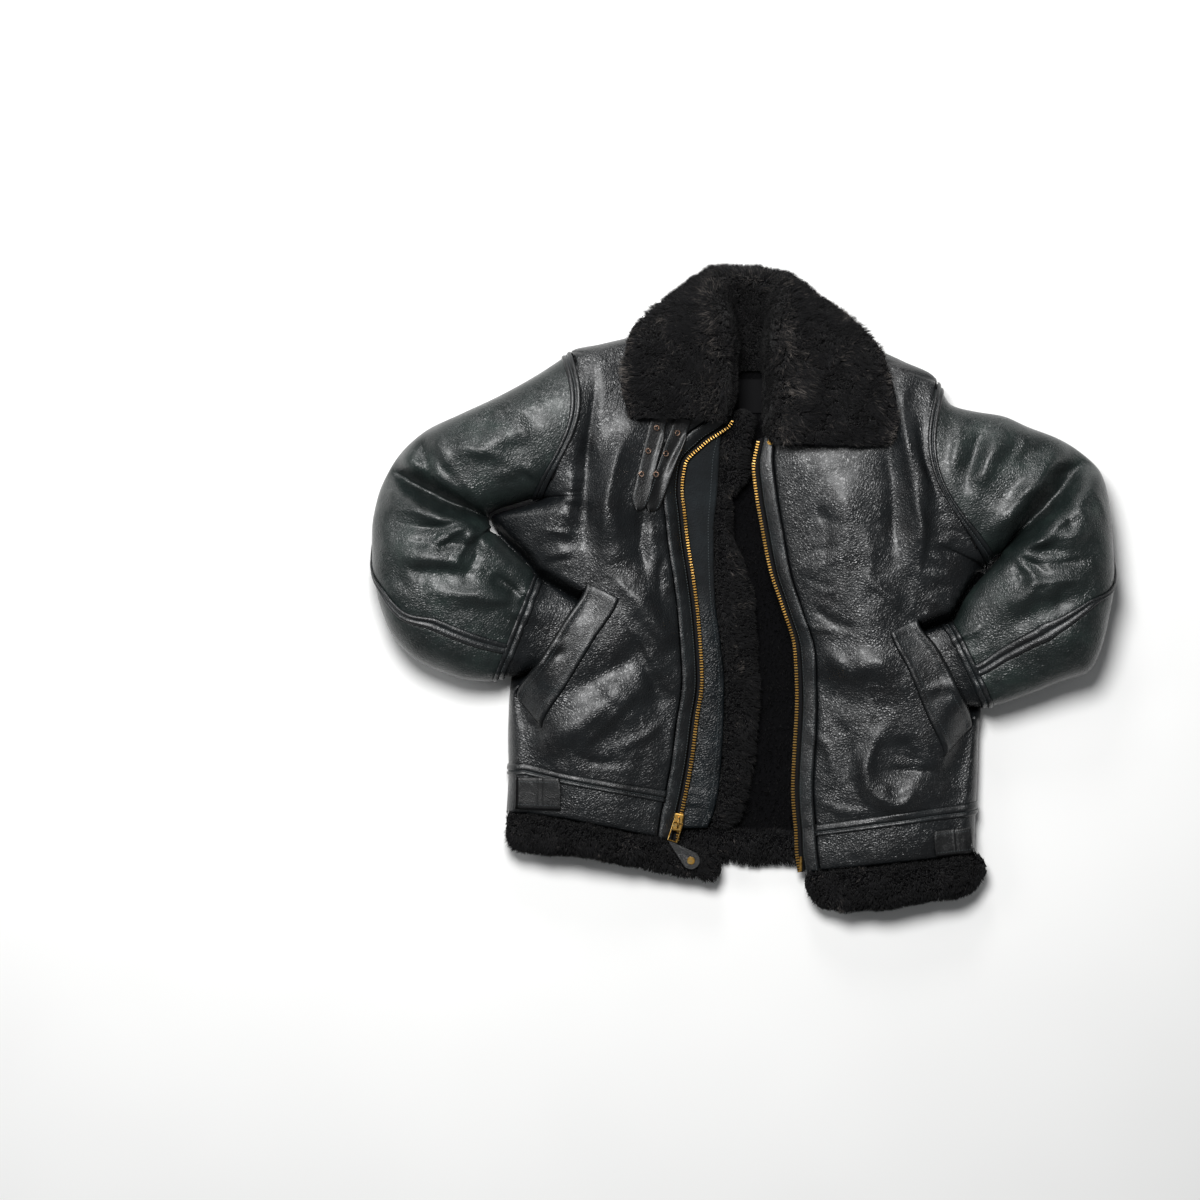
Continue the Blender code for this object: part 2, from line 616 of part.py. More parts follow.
def build_front(side, table, sleeve, folds, zip_side):
    points, normals, open_rows, split = front_grid(table, sleeve, folds, SLIT[side], zip_side)
    count = MOUTH_COLUMN
    last = points.shape[1] - 1
    body = rows_between(0.0, 1.2)
    grid = inset(points[body, :last], EVERY_SIDE)
    seam_column = grid[:, -1].copy()
    grid = draw_in_armhole(grid, body)
    grid[:, -1] = seam_column
    inner = grid - normals[body, :last] * WALL
    inner[..., 2] = np.maximum(inner[..., 2], split[body][:, None] + SEAM)
    faces = grid_faces(grid.shape[0], last, skipped=count - 1)
    closed_rows = np.flatnonzero(~open_rows[body])
    merged = {i * last + count: i * last + count - 1 for i in closed_rows}
    faces = [tuple(merged.get(index, index) for index in face) for face in faces]
    wall(f"front_{side}", grid, inner, faces, LEATHER)
    band = rows_between(-1.0, 0.0)
    kept = [j for j in range(last) if j != count]
    plate(f"waistband_{side}", points[band][:, kept], normals[band][:, kept], -WALL, 0, LEATHER, EVERY_SIDE)
    tape = rows_between(-0.12, 0.015)
    plate(f"waist_tape_{side}", points[tape][:, kept], normals[tape][:, kept], TAPE_LIFT, TAPE_LIFT + TAPE_THICK,
          TAPE, ("last_column", "first_column"))
    edge_rows = rows_between(-1.0, 1.0)
    facing = points[edge_rows, last - 1:]
    plate(f"zip_facing_{side}", inset(facing, ("first_column",), SEAM), normals[edge_rows, last - 1:], -WALL, 0,
          TAPE, ("last_column",))
    outward = unit((facing[:, 1] - facing[:, 0]) * (1, 1, 0))
    start = facing[:, 1] + outward * SEAM / 2
    tape_points = np.stack((start, start + outward * ZIP_TAPE), axis=1)
    up = np.zeros_like(tape_points) + (0, 0, 1)
    plate(f"zip_tape_{side}", tape_points, up, -ZIP_DROP - ZIP_THICK, -ZIP_DROP, BRASS)
    welt_rows = rows_between(*SLIT[side])
    plate(f"pocket_welt_{side}", points[welt_rows, count:count + 3], normals[welt_rows, count:count + 3],
          TAPE_LIFT, TAPE_LIFT + WELT_THICK, TAPE)
    return points, normals


def build_back(right_points, left_points):
    """The back lies flat on the floor and turns up along its edges to meet the fronts."""
    levels = np.array(FRONT_LEVELS)
    right, left = right_points[:, 0], left_points[:, 0]
    armhole = (levels >= ARMHOLE[0] - 1e-9) & (levels <= ARMHOLE[1] + 1e-9)
    share = np.zeros(len(levels))
    share[armhole] = ARMHOLE_SHARES
    angle = np.radians(angle_at(share))
    lift = np.sin(angle) ** (2 / ROUND)
    edge_z = []
    split = []
    for edge in (right, left):
        z = edge[:, 2].copy()
        middle = z.copy()
        middle[armhole] = z[armhole][0] + (z[armhole][-1] - z[armhole][0]) * share[armhole]
        z[armhole] = np.maximum(0, middle[armhole] - (middle[armhole] + FLOOR_FLAT) * lift[armhole])
        edge_z.append(z)
        split.append(middle)
    width = np.linalg.norm((left - right)[:, :2], axis=1)[:, None]
    turn = np.stack([np.clip(z * 1.3, 8, 30) for z in edge_z])
    steps = np.array((0, 0.06, 0.25, 0.55, 1.0))
    shares = np.concatenate((steps * turn[0][:, None] / width, np.linspace(0.14, 0.86, 7)[None].repeat(len(levels), 0),
                             1 - steps[::-1] * turn[1][:, None] / width), axis=1)
    plan = right[:, None, :2] + shares[..., None] * (left - right)[:, None, :2]
    dip = np.interp(levels, *zip(*NECK_DIP))
    plan[..., 1] -= dip[:, None] * np.exp(-(((plan[..., 0] - 8) / NECK_WIDTH) ** 2))
    on_right = shares < 0.5
    near = np.where(on_right, shares, 1 - shares) * width
    t = np.clip(1 - near / np.where(on_right, turn[0][:, None], turn[1][:, None]), 0, 1)
    z = np.where(on_right, edge_z[0][:, None], edge_z[1][:, None]) * (1 - np.sqrt(1 - t**2))
    points = np.dstack((plan, z))
    normals = -grid_normals(points)
    for column, edge in ((0, right), (-1, left)):
        flat = unit(normals[:, column] * (1, 1, 0))
        ends = armhole & (share > 0) & (share < 1)
        normals[:, column] = np.where(ends[:, None], (0, 0, -1), flat)
    normals[0] = unit(normals[0] * (1, 0, 1))
    limit = np.where(on_right, split[0][:, None], split[1][:, None]) - SEAM
    for name, rows in (("back_panel", rows_between(0.0, 1.2)), ("waistband_back", rows_between(-1.0, 0.0))):
        grid = draw_in_armhole(inset(points[rows], EVERY_SIDE), rows)
        inner = grid + normals[rows] * -BACK_WALL
        inner[..., 2] = np.minimum(inner[..., 2], limit[rows])
        wall(name, grid, inner, grid_faces(*grid.shape[:2]), LEATHER)
    return points


def build_sleeve(side, table, folds):
    last = table[-1][0]
    steps = [step for step in SLEEVE_STEPS if step < last] + [last]
    points, normals = sleeve_grid(table, steps, folds)
    cuff = steps.index(CUFF_SECTION)
    body = points[:cuff + 1].copy()
    body[0] += unit(body[1] - body[0]) * (ARMHOLE_GAP - SEAM / 2)
    for name, piece in (("top", TOP_COLUMNS), ("under", UNDER_COLUMNS)):
        grid = inset(body[:, piece], ("first_column", "last_column"), SLEEVE_GAP)
        plate(f"sleeve_{name}_{side}", grid, normals[:cuff + 1, piece], -WALL, 0, SLEEVE_LEATHER,
              ("first_row", "last_row"))
    around = inset(points[cuff:, :-1], ("first_row",))
    wall(f"cuff_{side}", around, around - normals[cuff:, :-1] * WALL, grid_faces(*around.shape[:2], closed=True),
         LEATHER)
    over = slice(1, 11)
    plate(f"armhole_tape_{side}", body[:2, over], normals[:2, over], TAPE_LIFT, TAPE_LIFT + TAPE_THICK, TAPE,
          ("first_row",))
    plate(f"sleeve_tape_{side}", body[1:cuff - 1, SEAM_COLUMNS], normals[1:cuff - 1, SEAM_COLUMNS], TAPE_LIFT,
          TAPE_LIFT + TAPE_THICK, TAPE, ("first_row", "last_row"))
    plate(f"cuff_tape_{side}", points[cuff - 1:cuff + 2, over], normals[cuff - 1:cuff + 2, over], TAPE_LIFT,
          TAPE_LIFT + TAPE_THICK, TAPE)
    return points, normals


def collar_grid(steps):
    """The leather side of the collar: up from the neck, over the roll and out along the leaf."""
    held = read(COLLAR_COLUMNS, COLLAR, steps)
    neck = np.column_stack((held["neck_x"], held["neck_y"], held["neck_z"]))
    roll = np.column_stack((held["roll_x"], held["roll_y"], held["roll_z"]))
    leaf = np.column_stack((held["leaf_x"], held["leaf_y"], held["leaf_z"]))
    flat = (1, 1, 0)
    length = np.linalg.norm((leaf - roll) * flat, axis=1)[:, None]
    out = unit((leaf - roll) * flat)
    up = np.array((0, 0, 1.0))
    depth = np.clip(length * 0.5 / (COLLAR_WOOL + ROLL_RADIUS), 0, 1)
    inner = roll + depth * (out * COLLAR_WOOL - up * (COLLAR_WOOL + ROLL_RADIUS * 1.6))
    crest = roll + depth * (out * (COLLAR_WOOL + ROLL_RADIUS) - up * COLLAR_WOOL)
    outer = leaf - up * COLLAR_WOOL
    base = neck + depth * out * COLLAR_WOOL * 0.6
    foot = base + (inner - base) * 0.5 - up * 3
    middle = crest + (outer - crest) * 0.5 + up * 5
    controls = np.stack((base, foot, inner, crest, middle, outer), axis=1)
    keys = np.array((0.0, 1.0, 1.9, 2.4, 3.5, 4.6))
    at = np.array((0.0, 0.6, 1.2, 1.9, 2.15, 2.4, 2.75, 3.4, 4.0, 4.6))
    points = np.empty((len(steps), len(at), 3))
    for i in range(len(steps)):
        for axis in range(3):
            points[i, :, axis] = smooth(keys, controls[i, :, axis], at)
    points[..., 2] -= COLLAR_SEAT
    return points, grid_normals(points)


def build_collar():
    points, normals = collar_grid(np.arange(0, 17.01, 1.0))
    if normals[3, -2, 2] < 0:
        normals = -normals
    thick = np.full(points.shape[:2], COLLAR_WOOL)
    thick[:, :2] *= (0.4, 0.7)
    thick[:, -1] *= 0.6
    thick[0] *= 0.6
    thick[-1] *= 0.6
    faces = grid_faces(*points.shape[:2])
    wall("collar_wool", points + normals * thick[..., None], points, faces, WOOL)
    wall("collar_leather", points - normals * SEAM, points - normals * (SEAM + COLLAR_LEATHER), faces, LEATHER)


HEM_ANGLES = np.arange(15, 375, 30)


def hem_rings(table, row, extra, low, least):
    """Sections of a worn-wool hem, under each point of the waistband's lower edge and the extra ones past it."""
    held = columns(HEM_COLUMNS, table)
    rings = []
    for x, y, z in list(row) + list(extra):
        bottom = float(smooth(held["x"], held["bottom_y"], x))
        high = max(z + 6, least)
        place = {"in_x": x, "in_y": y - 2 * SEAM, "out_x": x + 1e-3, "out_y": bottom, "low": low, "high": high,
                 "in_z": low + 0.5 * (high - low), "bow": 0}
        rings.append(ring(place, HEM_ANGLES)[0])
    return rings


def build_hems(right_points, left_points, back_points):
    kept = [j for j in range(right_points.shape[1]) if j != MOUTH_COLUMN and j not in (1, 2)]
    right_row = right_points[0, kept]
    left_row = left_points[0, kept][::-1]
    past_zip = [(-78, -331, 27), (-54, -338, 27), (-30, -345, 26)]
    loft("hem_wool_right", hem_rings(RIGHT_HEM, right_row, past_zip, 21, 34), WOOL)
    loft("hem_wool_left", hem_rings(LEFT_HEM, left_row, (), 21, 34), WOOL)
    loft("hem_wool_back", hem_rings(BACK_HEM, back_points[0, 3:-3] * (1, 1, 0), (), 0, 17), WOOL)


def build_flap(front_points):
    at = np.linspace(FLAP[0][0], FLAP[-1][0], 22)
    held = read(FLAP_COLUMNS.replace("y ", "minus_y ", 1), [(-row[0],) + row[1:] for row in FLAP], -at)
    edge = front_points[:, -1]
    order = np.argsort(edge[:, 1])
    zip_x = np.interp(at, edge[order, 1], edge[order, 0])
    zip_z = np.interp(at, edge[order, 1], edge[order, 2])
    start = np.column_stack((zip_x - 9, at, zip_z - WALL - 1.6))
    under_zip = np.column_stack((zip_x + 5, at, zip_z - WALL - 2.0))
    finish = np.column_stack((held["edge_x"], at, held["edge_z"]))
    points = np.stack((start, under_zip, 0.5 * (under_zip + finish), finish), axis=1)
    up = np.zeros_like(points) + (0, 0, 1)
    plate("wind_flap", points, up, -2.5, 0, LEATHER, ("last_column",))
    rings = []
    for y, edge_x, rim_x, edge_z in zip(at, held["edge_x"], held["rim_x"], held["edge_z"]):
        low = max(BACK_WALL + SEAM + 0.05, edge_z - 15)
        place = {"in_x": edge_x + SEAM, "in_y": y, "out_x": rim_x, "out_y": y + 1e-3, "low": low,
                 "high": edge_z + 3, "in_z": edge_z - 5, "bow": 0}
        rings.append(ring(place, HEM_ANGLES)[0])
    loft("wind_flap_wool", rings, WOOL)


def surface_above(names):
    """A function giving the greatest height of the named objects within a small reach of a point."""
    trees = []
    for name in names:
        mesh = bpy.data.objects[name].data
        corners = [vertex.co / MM for vertex in mesh.vertices]
        trees.append(BVHTree.FromPolygons(corners, [tuple(face.vertices) for face in mesh.polygons]))

    def height(x, y, reach):
        found = []
        for dx, dy in ((0, 0), (reach, 0), (-reach, 0), (0, reach), (0, -reach)):
            for tree in trees:
                hit = tree.ray_cast(Vector((x + dx, y + dy, 400)), Vector((0, 0, -1)))[0]
                if hit is not None:
                    found.append(hit.z)
        return max(found, default=-1.0)

    return height


def strip_on(name, centre, widths, height, thick, lift, look, reach):
    """A flat strap or tab along a centre line, bridging the small folds that it lies on."""
    centre = np.array(centre, float)
    towards = np.gradient(centre, axis=0)
    across = unit(np.column_stack((-towards[:, 1], towards[:, 0])))
    half = np.array(widths, float)[:, None] / 2
    rows = []
    for share in (-1.0, -0.34, 0.34, 1.0):
        rows.append(centre + across * half * share)
    plan = np.stack(rows, axis=1)
    z = np.array([[height(x, y, reach) for x, y in row] for row in plan]) + lift
    points = np.dstack((plan, z))
    up = np.zeros_like(points) + (0, 0, 1)
    wall(name, points + up * thick, points, grid_faces(*points.shape[:2]), look)


def along_line(line, count):
    line = np.array(line, float)
    run = np.concatenate(([0], np.cumsum(np.linalg.norm(np.diff(line, axis=0), axis=1))))
    at = np.linspace(0, run[-1], count)
    return np.column_stack((np.interp(at, run, line[:, 0]), np.interp(at, run, line[:, 1])))


def build_straps():
    beneath = ["front_right", "zip_facing_right"]
    for index, (name, (start, tip, eyelets)) in enumerate(STRAPS.items()):
        height = surface_above(beneath)
        centre = along_line([start, eyelets[0], eyelets[1], eyelets[2], tip], 12)
        widths = [STRAP_WIDTH] * 9 + [STRAP_WIDTH * 0.96, STRAP_WIDTH * 0.72, STRAP_WIDTH * 0.18]
        strip_on(name, centre, widths, height, 2.0, 0.35, STRAP, 4.0)
        beneath.append(name)
        strap_height = surface_above([name])
        for number, (x, y) in enumerate(eyelets):
            z = strap_height(x, y, 3.6) + SEAM + EYELET_WIRE
            bpy.ops.mesh.primitive_torus_add(location=(x * MM, y * MM, z * MM), major_segments=10, minor_segments=4,
                                             major_radius=EYELET_RADIUS * MM, minor_radius=EYELET_WIRE * MM)
            adopt(f"strap_eyelet_{index + 1}_{number + 1}", COPPER)


def build_tabs():
    for side, (start, finish, width) in TABS.items():
        height = surface_above([f"waistband_{side}", f"waist_tape_{side}"])
        strip_on(f"adjuster_tab_{side}", along_line([start, finish], 6), [width] * 6, height, 2.5, 0.6, STRAP, 4.0)


def adopt(name, look):
    """Takes the object that an operator has just made, names it, and gives it its look."""
    made = bpy.context.object
    mesh = made.data
    matrix = made.matrix_world.copy()
    bpy.data.objects.remove(made)
    mesh.name = name
    obj = new_object(name, mesh, look)
    obj.matrix_world = matrix
    return obj


def rod(name, points, radius, look, cyclic=False, resolution=2):
    curve = bpy.data.curves.new(name, "CURVE")
    curve.dimensions = "3D"
    spline = curve.splines.new("POLY")
    spline.points.add(len(points) - 1)
    for held, point in zip(spline.points, points):
        held.co = (*[value * MM for value in point], 1)
    spline.use_cyclic_u = cyclic
    curve.bevel_depth = radius * MM
    curve.bevel_resolution = resolution
    curve.use_fill_caps = not cyclic
    return new_object(name, curve, look)


def turned(angle, x, y):
    """A point of the slider's own plane, turned about the upright."""
    angle = math.radians(angle)
    return x * math.cos(angle) - y * math.sin(angle), x * math.sin(angle) + y * math.cos(angle)


def build_slider():
    x, y, z = SLIDER
    bpy.ops.mesh.primitive_cube_add(size=1, location=(x * MM, y * MM, (z + SLIDER_HIGH / 2) * MM),
                                    rotation=(0, 0, math.radians(SLIDER_TURN)))
    bpy.context.object.scale = (SLIDER_WIDE * MM, SLIDER_LONG * MM, SLIDER_HIGH * MM)
    bpy.ops.object.transform_apply(location=False, rotation=False, scale=True)
    body = adopt("zip_slider", BRASS)
    bevel = body.modifiers.new("Rounded", "BEVEL")
    bevel.width = 2.0 * MM
    bevel.segments = 2
    top = z + SLIDER_HIGH + SEAM
    arch = []
    for angle in range(0, 181, 30):
        reach, rise = BAIL_REACH * math.cos(math.radians(angle)), BAIL_HIGH * math.sin(math.radians(angle))
        dx, dy = turned(SLIDER_TURN, 0, reach)
        arch.append((x + dx, y + dy, top + rise))
    rod("zip_slider_bail", arch, BAIL_WIRE, BRASS)
    pivot_z = top + PULL_WIRE + 0.6
    half = PULL_WIDE / 2
    loop = []
    for px, py in ((half, 0), (half, -PULL_LONG), (-half, -PULL_LONG), (-half, 0)):
        dx, dy = turned(PULL_TURN, px, py)
        loop.append((x + dx, y + dy, pivot_z + PULL_RISE * (-py / PULL_LONG)))
    pivot = bpy.data.objects.new("pull_pivot", None)
    pivot.location = (x * MM, y * MM, pivot_z * MM)
    jacket.objects.link(pivot)
    hold(rod("zip_pull", loop, PULL_WIRE, BRASS, cyclic=True), pivot)
    end_x, end_y = turned(PULL_TURN, 0, -PULL_LONG - PULL_WIRE - SEAM)
    root = (x + end_x, y + end_y)
    build_pull_tab(root, pivot_z + PULL_RISE, pivot)


def hold(obj, parent):
    """Parents an object that is already in its place."""
    bpy.context.view_layer.update()
    obj.parent = parent
    obj.matrix_parent_inverse = parent.matrix_world.inverted()


def build_pull_tab(root, z, pivot):
    end = np.array(TAB_END, float)
    root = np.array(root, float)
    along = unit(end - root)
    across = np.array((-along[1], along[0]))
    outline = []
    bar_x, bar_y = turned(PULL_TURN, 1, 0)
    for side in (-1, 1):
        outline.append(root + side * TAB_ROOT / 2 * np.array((bar_x, bar_y)))
    arc = []
    for angle in np.radians(np.linspace(-105, 105, 11)):
        arc.append(end + TAB_RADIUS * (along * math.cos(angle) + across * math.sin(angle)))
    outline = [outline[0]] + arc + [outline[1]]
    bm = bmesh.new()
    corners = [bm.verts.new((px * MM, py * MM, (z - TAB_THICK / 2) * MM)) for px, py in outline]
    face = bm.faces.new(corners)
    raised = bmesh.ops.extrude_face_region(bm, geom=[face])["geom"]
    lifted = [item for item in raised if isinstance(item, bmesh.types.BMVert)]
    bmesh.ops.translate(bm, verts=lifted, vec=(0, 0, TAB_THICK * MM))
    bmesh.ops.recalc_face_normals(bm, faces=bm.faces)
    mesh = bpy.data.meshes.new("pull_tab")
    bm.to_mesh(mesh)
    bm.free()
    hold(new_object("pull_tab", mesh, STRAP), pivot)
    height = z + TAB_THICK / 2 + SEAM
    bpy.ops.mesh.primitive_cylinder_add(vertices=16, radius=RIVET_RADIUS * MM, depth=RIVET_HIGH * MM,
                                        location=(end[0] * MM, end[1] * MM, (height + RIVET_HIGH / 2) * MM))
    rivet = adopt("pull_tab_rivet", BRASS)
    bevel = rivet.modifiers.new("Rounded", "BEVEL")
    bevel.width = 0.7 * MM
    bevel.segments = 1
    hold(rivet, pivot)


def build_snap():
    x, y = SNAP
    z = surface_above(["zip_facing_left", "front_left"])(x, y, SNAP_RADIUS) + SEAM
    bpy.ops.mesh.primitive_cylinder_add(vertices=16, radius=SNAP_RADIUS * MM, depth=SNAP_HIGH * MM,
                                        location=(x * MM, y * MM, (z + SNAP_HIGH / 2) * MM))
    adopt("throat_snap", BRASS)


def build_label():
    bpy.ops.mesh.primitive_cube_add(size=1, location=(12 * MM, 256 * MM, (BACK_WALL + 0.4 + 0.5) * MM))
    bpy.context.object.scale = (LABEL_WIDE * MM, LABEL_LONG * MM, 1.0 * MM)
    bpy.ops.object.transform_apply(location=False, rotation=False, scale=True)
    adopt("neck_label", LABEL)


def clear_scene():
    for obj in list(bpy.data.objects):
        bpy.data.objects.remove(obj, do_unlink=True)


clear_scene()
jacket = bpy.data.collections.new("flying_jacket")
bpy.context.scene.collection.children.link(jacket)

right_points, right_normals = build_front("right", RIGHT_FRONT, RIGHT_SLEEVE, RIGHT_BODY_FOLDS, 1)
left_points, left_normals = build_front("left", LEFT_FRONT, LEFT_SLEEVE, LEFT_BODY_FOLDS, -1)
back_points = build_back(right_points, left_points)
build_sleeve("right", RIGHT_SLEEVE, RIGHT_SLEEVE_FOLDS)
build_sleeve("left", LEFT_SLEEVE, LEFT_SLEEVE_FOLDS)
build_collar()
build_hems(right_points, left_points, back_points)
build_flap(right_points)
build_straps()
build_tabs()
build_slider()
left_edge = left_points[:, -1]
rod("zip_end_pin", [(left_edge[0, 0] - 5, left_edge[0, 1] + 20, left_edge[0, 2] + 1.6),
                    (left_edge[0, 0] - 5, left_edge[0, 1] + 1, left_edge[0, 2] + 1.6)], 1.8, BRASS)
build_label()
build_snap()
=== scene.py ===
"""The looks of a shearling flying jacket that lies open on its back, with both cuffs tucked into its pockets.

The cloth repeats the cut of the part's source on finer meshes, with its creases listed in tables.
Lengths are in millimetres in the tables and turned into metres when a mesh is made.
X runs across the jacket to the wearer's left, Y from hem to collar, Z up from the floor it lies on.
Right and left are the wearer's.
"""

import math

import bmesh
import bpy
import numpy as np
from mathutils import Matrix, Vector, kdtree
from mathutils.bvhtree import BVHTree


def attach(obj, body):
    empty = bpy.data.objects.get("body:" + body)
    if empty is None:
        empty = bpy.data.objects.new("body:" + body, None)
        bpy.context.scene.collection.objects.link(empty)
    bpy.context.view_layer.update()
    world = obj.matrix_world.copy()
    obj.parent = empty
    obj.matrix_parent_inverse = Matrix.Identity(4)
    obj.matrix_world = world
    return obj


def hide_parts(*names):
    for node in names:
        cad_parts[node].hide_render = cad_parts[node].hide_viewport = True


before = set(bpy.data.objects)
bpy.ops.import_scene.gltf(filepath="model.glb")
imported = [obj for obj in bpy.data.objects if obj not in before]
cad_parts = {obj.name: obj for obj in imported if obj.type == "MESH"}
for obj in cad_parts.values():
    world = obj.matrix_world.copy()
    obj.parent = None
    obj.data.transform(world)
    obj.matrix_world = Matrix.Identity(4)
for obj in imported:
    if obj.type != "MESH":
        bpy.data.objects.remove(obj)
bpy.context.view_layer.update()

MM = 0.001
# Thicknesses and gaps of the cut, as in the part's source.
SEAM = 0.3
WALL = 6.0
BACK_WALL = 6.8
TAPE_LIFT = 0.35
TAPE_THICK = 1.5
FACING = 19.0
ZIP_TAPE = 9.0
ZIP_DROP = 1.0
ROLL_RADIUS = 6.5
# The exponent of every rounded section, and how far the underside of one is pressed flat on the floor.
ROUND = 2.5
FLOOR_FLAT = 3.0
# A front passes under the forearm at this height, and rises again over this far beside it.
PRESSED = 15.5
FOREARM_CLEAR = 1.0
FOREARM_RISE = 15.0
# Where the crown of a front lies, as a share of the way from the pocket mouth to the zip.
CROWN_SHARE = 0.35
# Where a sleeve's seams lie round it, in degrees.
INNER_SEAM = -22.0
BACK_SEAM = 205.0

# How thick each kind of sheet is in the scene.
LEATHER_THICK = 3.0
TAPE_PLY = 1.0
FACING_PLY = 2.5
WELT_PLY = 1.6
ZIP_PLY = 0.8
FLAP_PLY = 2.2
STRAP_PLY = 1.9
BACK_FLEECE = 1.2
COLLAR_FLEECE = 5.0
HEM_FLEECE = 2.5
FLAP_FLEECE = 1.8

# Tapes: how wide the armhole's and the cuff's are, and how wide the band of angles of the back seam's.
ARMHOLE_TAPE = 15.0
CUFF_TAPE = 17.0
SEAM_TAPE_ANGLE = 11.0
# A tape's beads: the ply under them and how high they stand.
BEAD_FOOT = 0.35
BEAD_HEIGHT = TAPE_THICK + 0.5
# A panel rolls down into its seams within this distance.
SEAM_REACH = 3.2
# Stitches and zip teeth: how far apart, and how high a tape's stitches lie over its sheet.
STITCH_PITCH = 3.6
STITCH_SIZE = (1.25, 0.42, 0.42)
TAPE_STITCH_LIFT = TAPE_LIFT + 0.55
TOOTH_PITCH = 3.6
TOOTH_SIZE = (1.9, 5.0, 2.4)
# No lock reaches nearer to the floor than this.
LOCK_FLOOR = 0.3
# The wool's ends are drawn in over this many sections.
CLOSING = 4.0
# A lock's shades: none at its root, most at its tip.
LOCK_SHADES = (0.0, 0.0, 0.75, 0.75, 1.35)
# The back's wool shows between these places across the jacket.
BACK_SHOWS = (-80, 110)
# The neck label's middle and half sizes, which the back's locks keep clear of.
LABEL_MIDDLE = (12, 256)
LABEL_CLEAR = (19.5, 23)

# The wind flap's topmost row, under the collar: y, edge x, rim x and height.
FLAP_TOP = (238, -20, 16, 36)

# What the camera sees: straight down on the middle of the picture.
CAMERA_PLACE = (-0.1885, -0.0117, 4.383)
CAMERA_LENS = 100.0

# How finely the panels are meshed.
SHARES = 0.5 - 0.5 * np.cos(np.linspace(0.0, math.pi, 56))
TURN_COLUMNS = 22
WELT_COLUMNS = 16
PANEL_COLUMNS = 41
FACING_COLUMNS = 7
WELT_END = TURN_COLUMNS + WELT_COLUMNS - 1
SEAM_COLUMN = WELT_END + PANEL_COLUMNS

# One row for each level of a front, from the hem seam (-1) past the waist seam (0), the underarm (0.7)
# and the shoulder point (1) to the neck end of the shoulder seam (1.2).
# side: the side seam. mouth: the pocket mouth line and what carries it on. welt: the welt's inner edge.
# crown: greatest height between mouth and zip. zip: the front edge.
FRONT_COLUMNS = "level side_x side_y side_z mouth_x mouth_y mouth_z welt_x welt_y crown zip_x zip_y zip_z"
RIGHT_FRONT = [
    (-1.00, -311, -290, 14, -284, -290, 40, -235, -296, 50, -94, -326, 26),
    (-0.50, -309, -259, 14, -285, -259, 42, -238, -268, 54, -90, -298, 27),
    (0.00, -308, -230, 14, -287, -229, 42, -240, -240, 56, -84, -269, 28),
    (0.09, -309, -191, 9, -293, -182, 38, -258, -208, 60, -75, -220, 30),
    (0.17, -308, -152, 7.6, -298, -138, 34, -264, -178, 64, -69, -170, 32),
    (0.27, -303, -100, 7.6, -266, -88, 70, -231, -121, 70, -62, -116, 34),
    (0.37, -291, -48, 7.6, -235, -38, 70, -197, -65, 72, -66, -46, 36),
    (0.47, -284, 12, 9, -207, 12, 66, -164, -9, 73, -73, 14, 38),
    (0.58, -320, 71, 12, -209, 66, 70, -160, 45, 74, -81, 66, 38),
    (0.65, -331, 97, 14, -208, 100, 73, -160, 83, 75, -85, 103, 39),
    (0.70, -263, 122, 22, -207, 125, 76, -160, 110, 76, -88, 129, 40),
    (0.80, -238, 177, 80, -194, 190, 78, -155, 180, 74, -84, 166, 42),
    (0.90, -212, 242, 82, -186, 255, 74, -150, 240, 68, -58, 195, 42),
    (1.00, -226, 311, 38, -190, 305, 66, -150, 285, 60, -22, 226, 42),
    (1.10, -185, 323, 32, -160, 318, 54, -120, 300, 56, -28, 262, 44),
    (1.20, -120, 338, 26, -104, 334, 37, -88, 325, 40, -60, 305, 38),
]
LEFT_FRONT = [
    (-1.00, 302, -343, 14, 280, -346, 40, 235, -350, 50, 79, -367, 26),
    (-0.50, 303, -312, 14, 281, -316, 42, 236, -320, 54, 75, -339, 27),
    (0.00, 304, -280, 14, 284, -283, 42, 238, -288, 56, 74, -313, 28),
    (0.09, 307, -233, 9, 290, -235, 38, 248, -250, 60, 70, -259, 30),
    (0.17, 308, -194, 7.6, 297, -177, 34, 258, -216, 64, 72, -209, 32),
    (0.27, 311, -150, 7.6, 277, -129, 70, 236, -165, 70, 75, -142, 34),
    (0.37, 313, -100, 7.6, 251, -77, 70, 211, -105, 73, 72, -77, 36),
    (0.47, 317, -46, 7.6, 224, -35, 66, 187, -53, 75, 57, -25, 38),
    (0.58, 318, -1, 7.6, 228, 17, 70, 183, 5, 76, 40, 27, 38),
    (0.70, 316, 30, 12, 240, 66, 74, 185, 75, 77, 30, 79, 40),
    (0.80, 276, 92, 78, 222, 134, 78, 180, 135, 76, 22, 125, 42),
    (0.90, 231, 199, 82, 204, 216, 74, 165, 205, 70, 18, 164, 42),
    (1.00, 251, 272, 38, 202, 285, 60, 160, 262, 60, 24, 200, 42),
    (1.10, 205, 301, 32, 175, 298, 52, 130, 285, 56, 30, 250, 44),
    (1.20, 150, 325, 26, 130, 322, 37, 105, 312, 40, 70, 300, 38),
]
# Between which levels a pocket's mouth is open, and an armhole lies.
SLIT = (0.17, 0.47)
ARMHOLE = (0.7, 1.0)

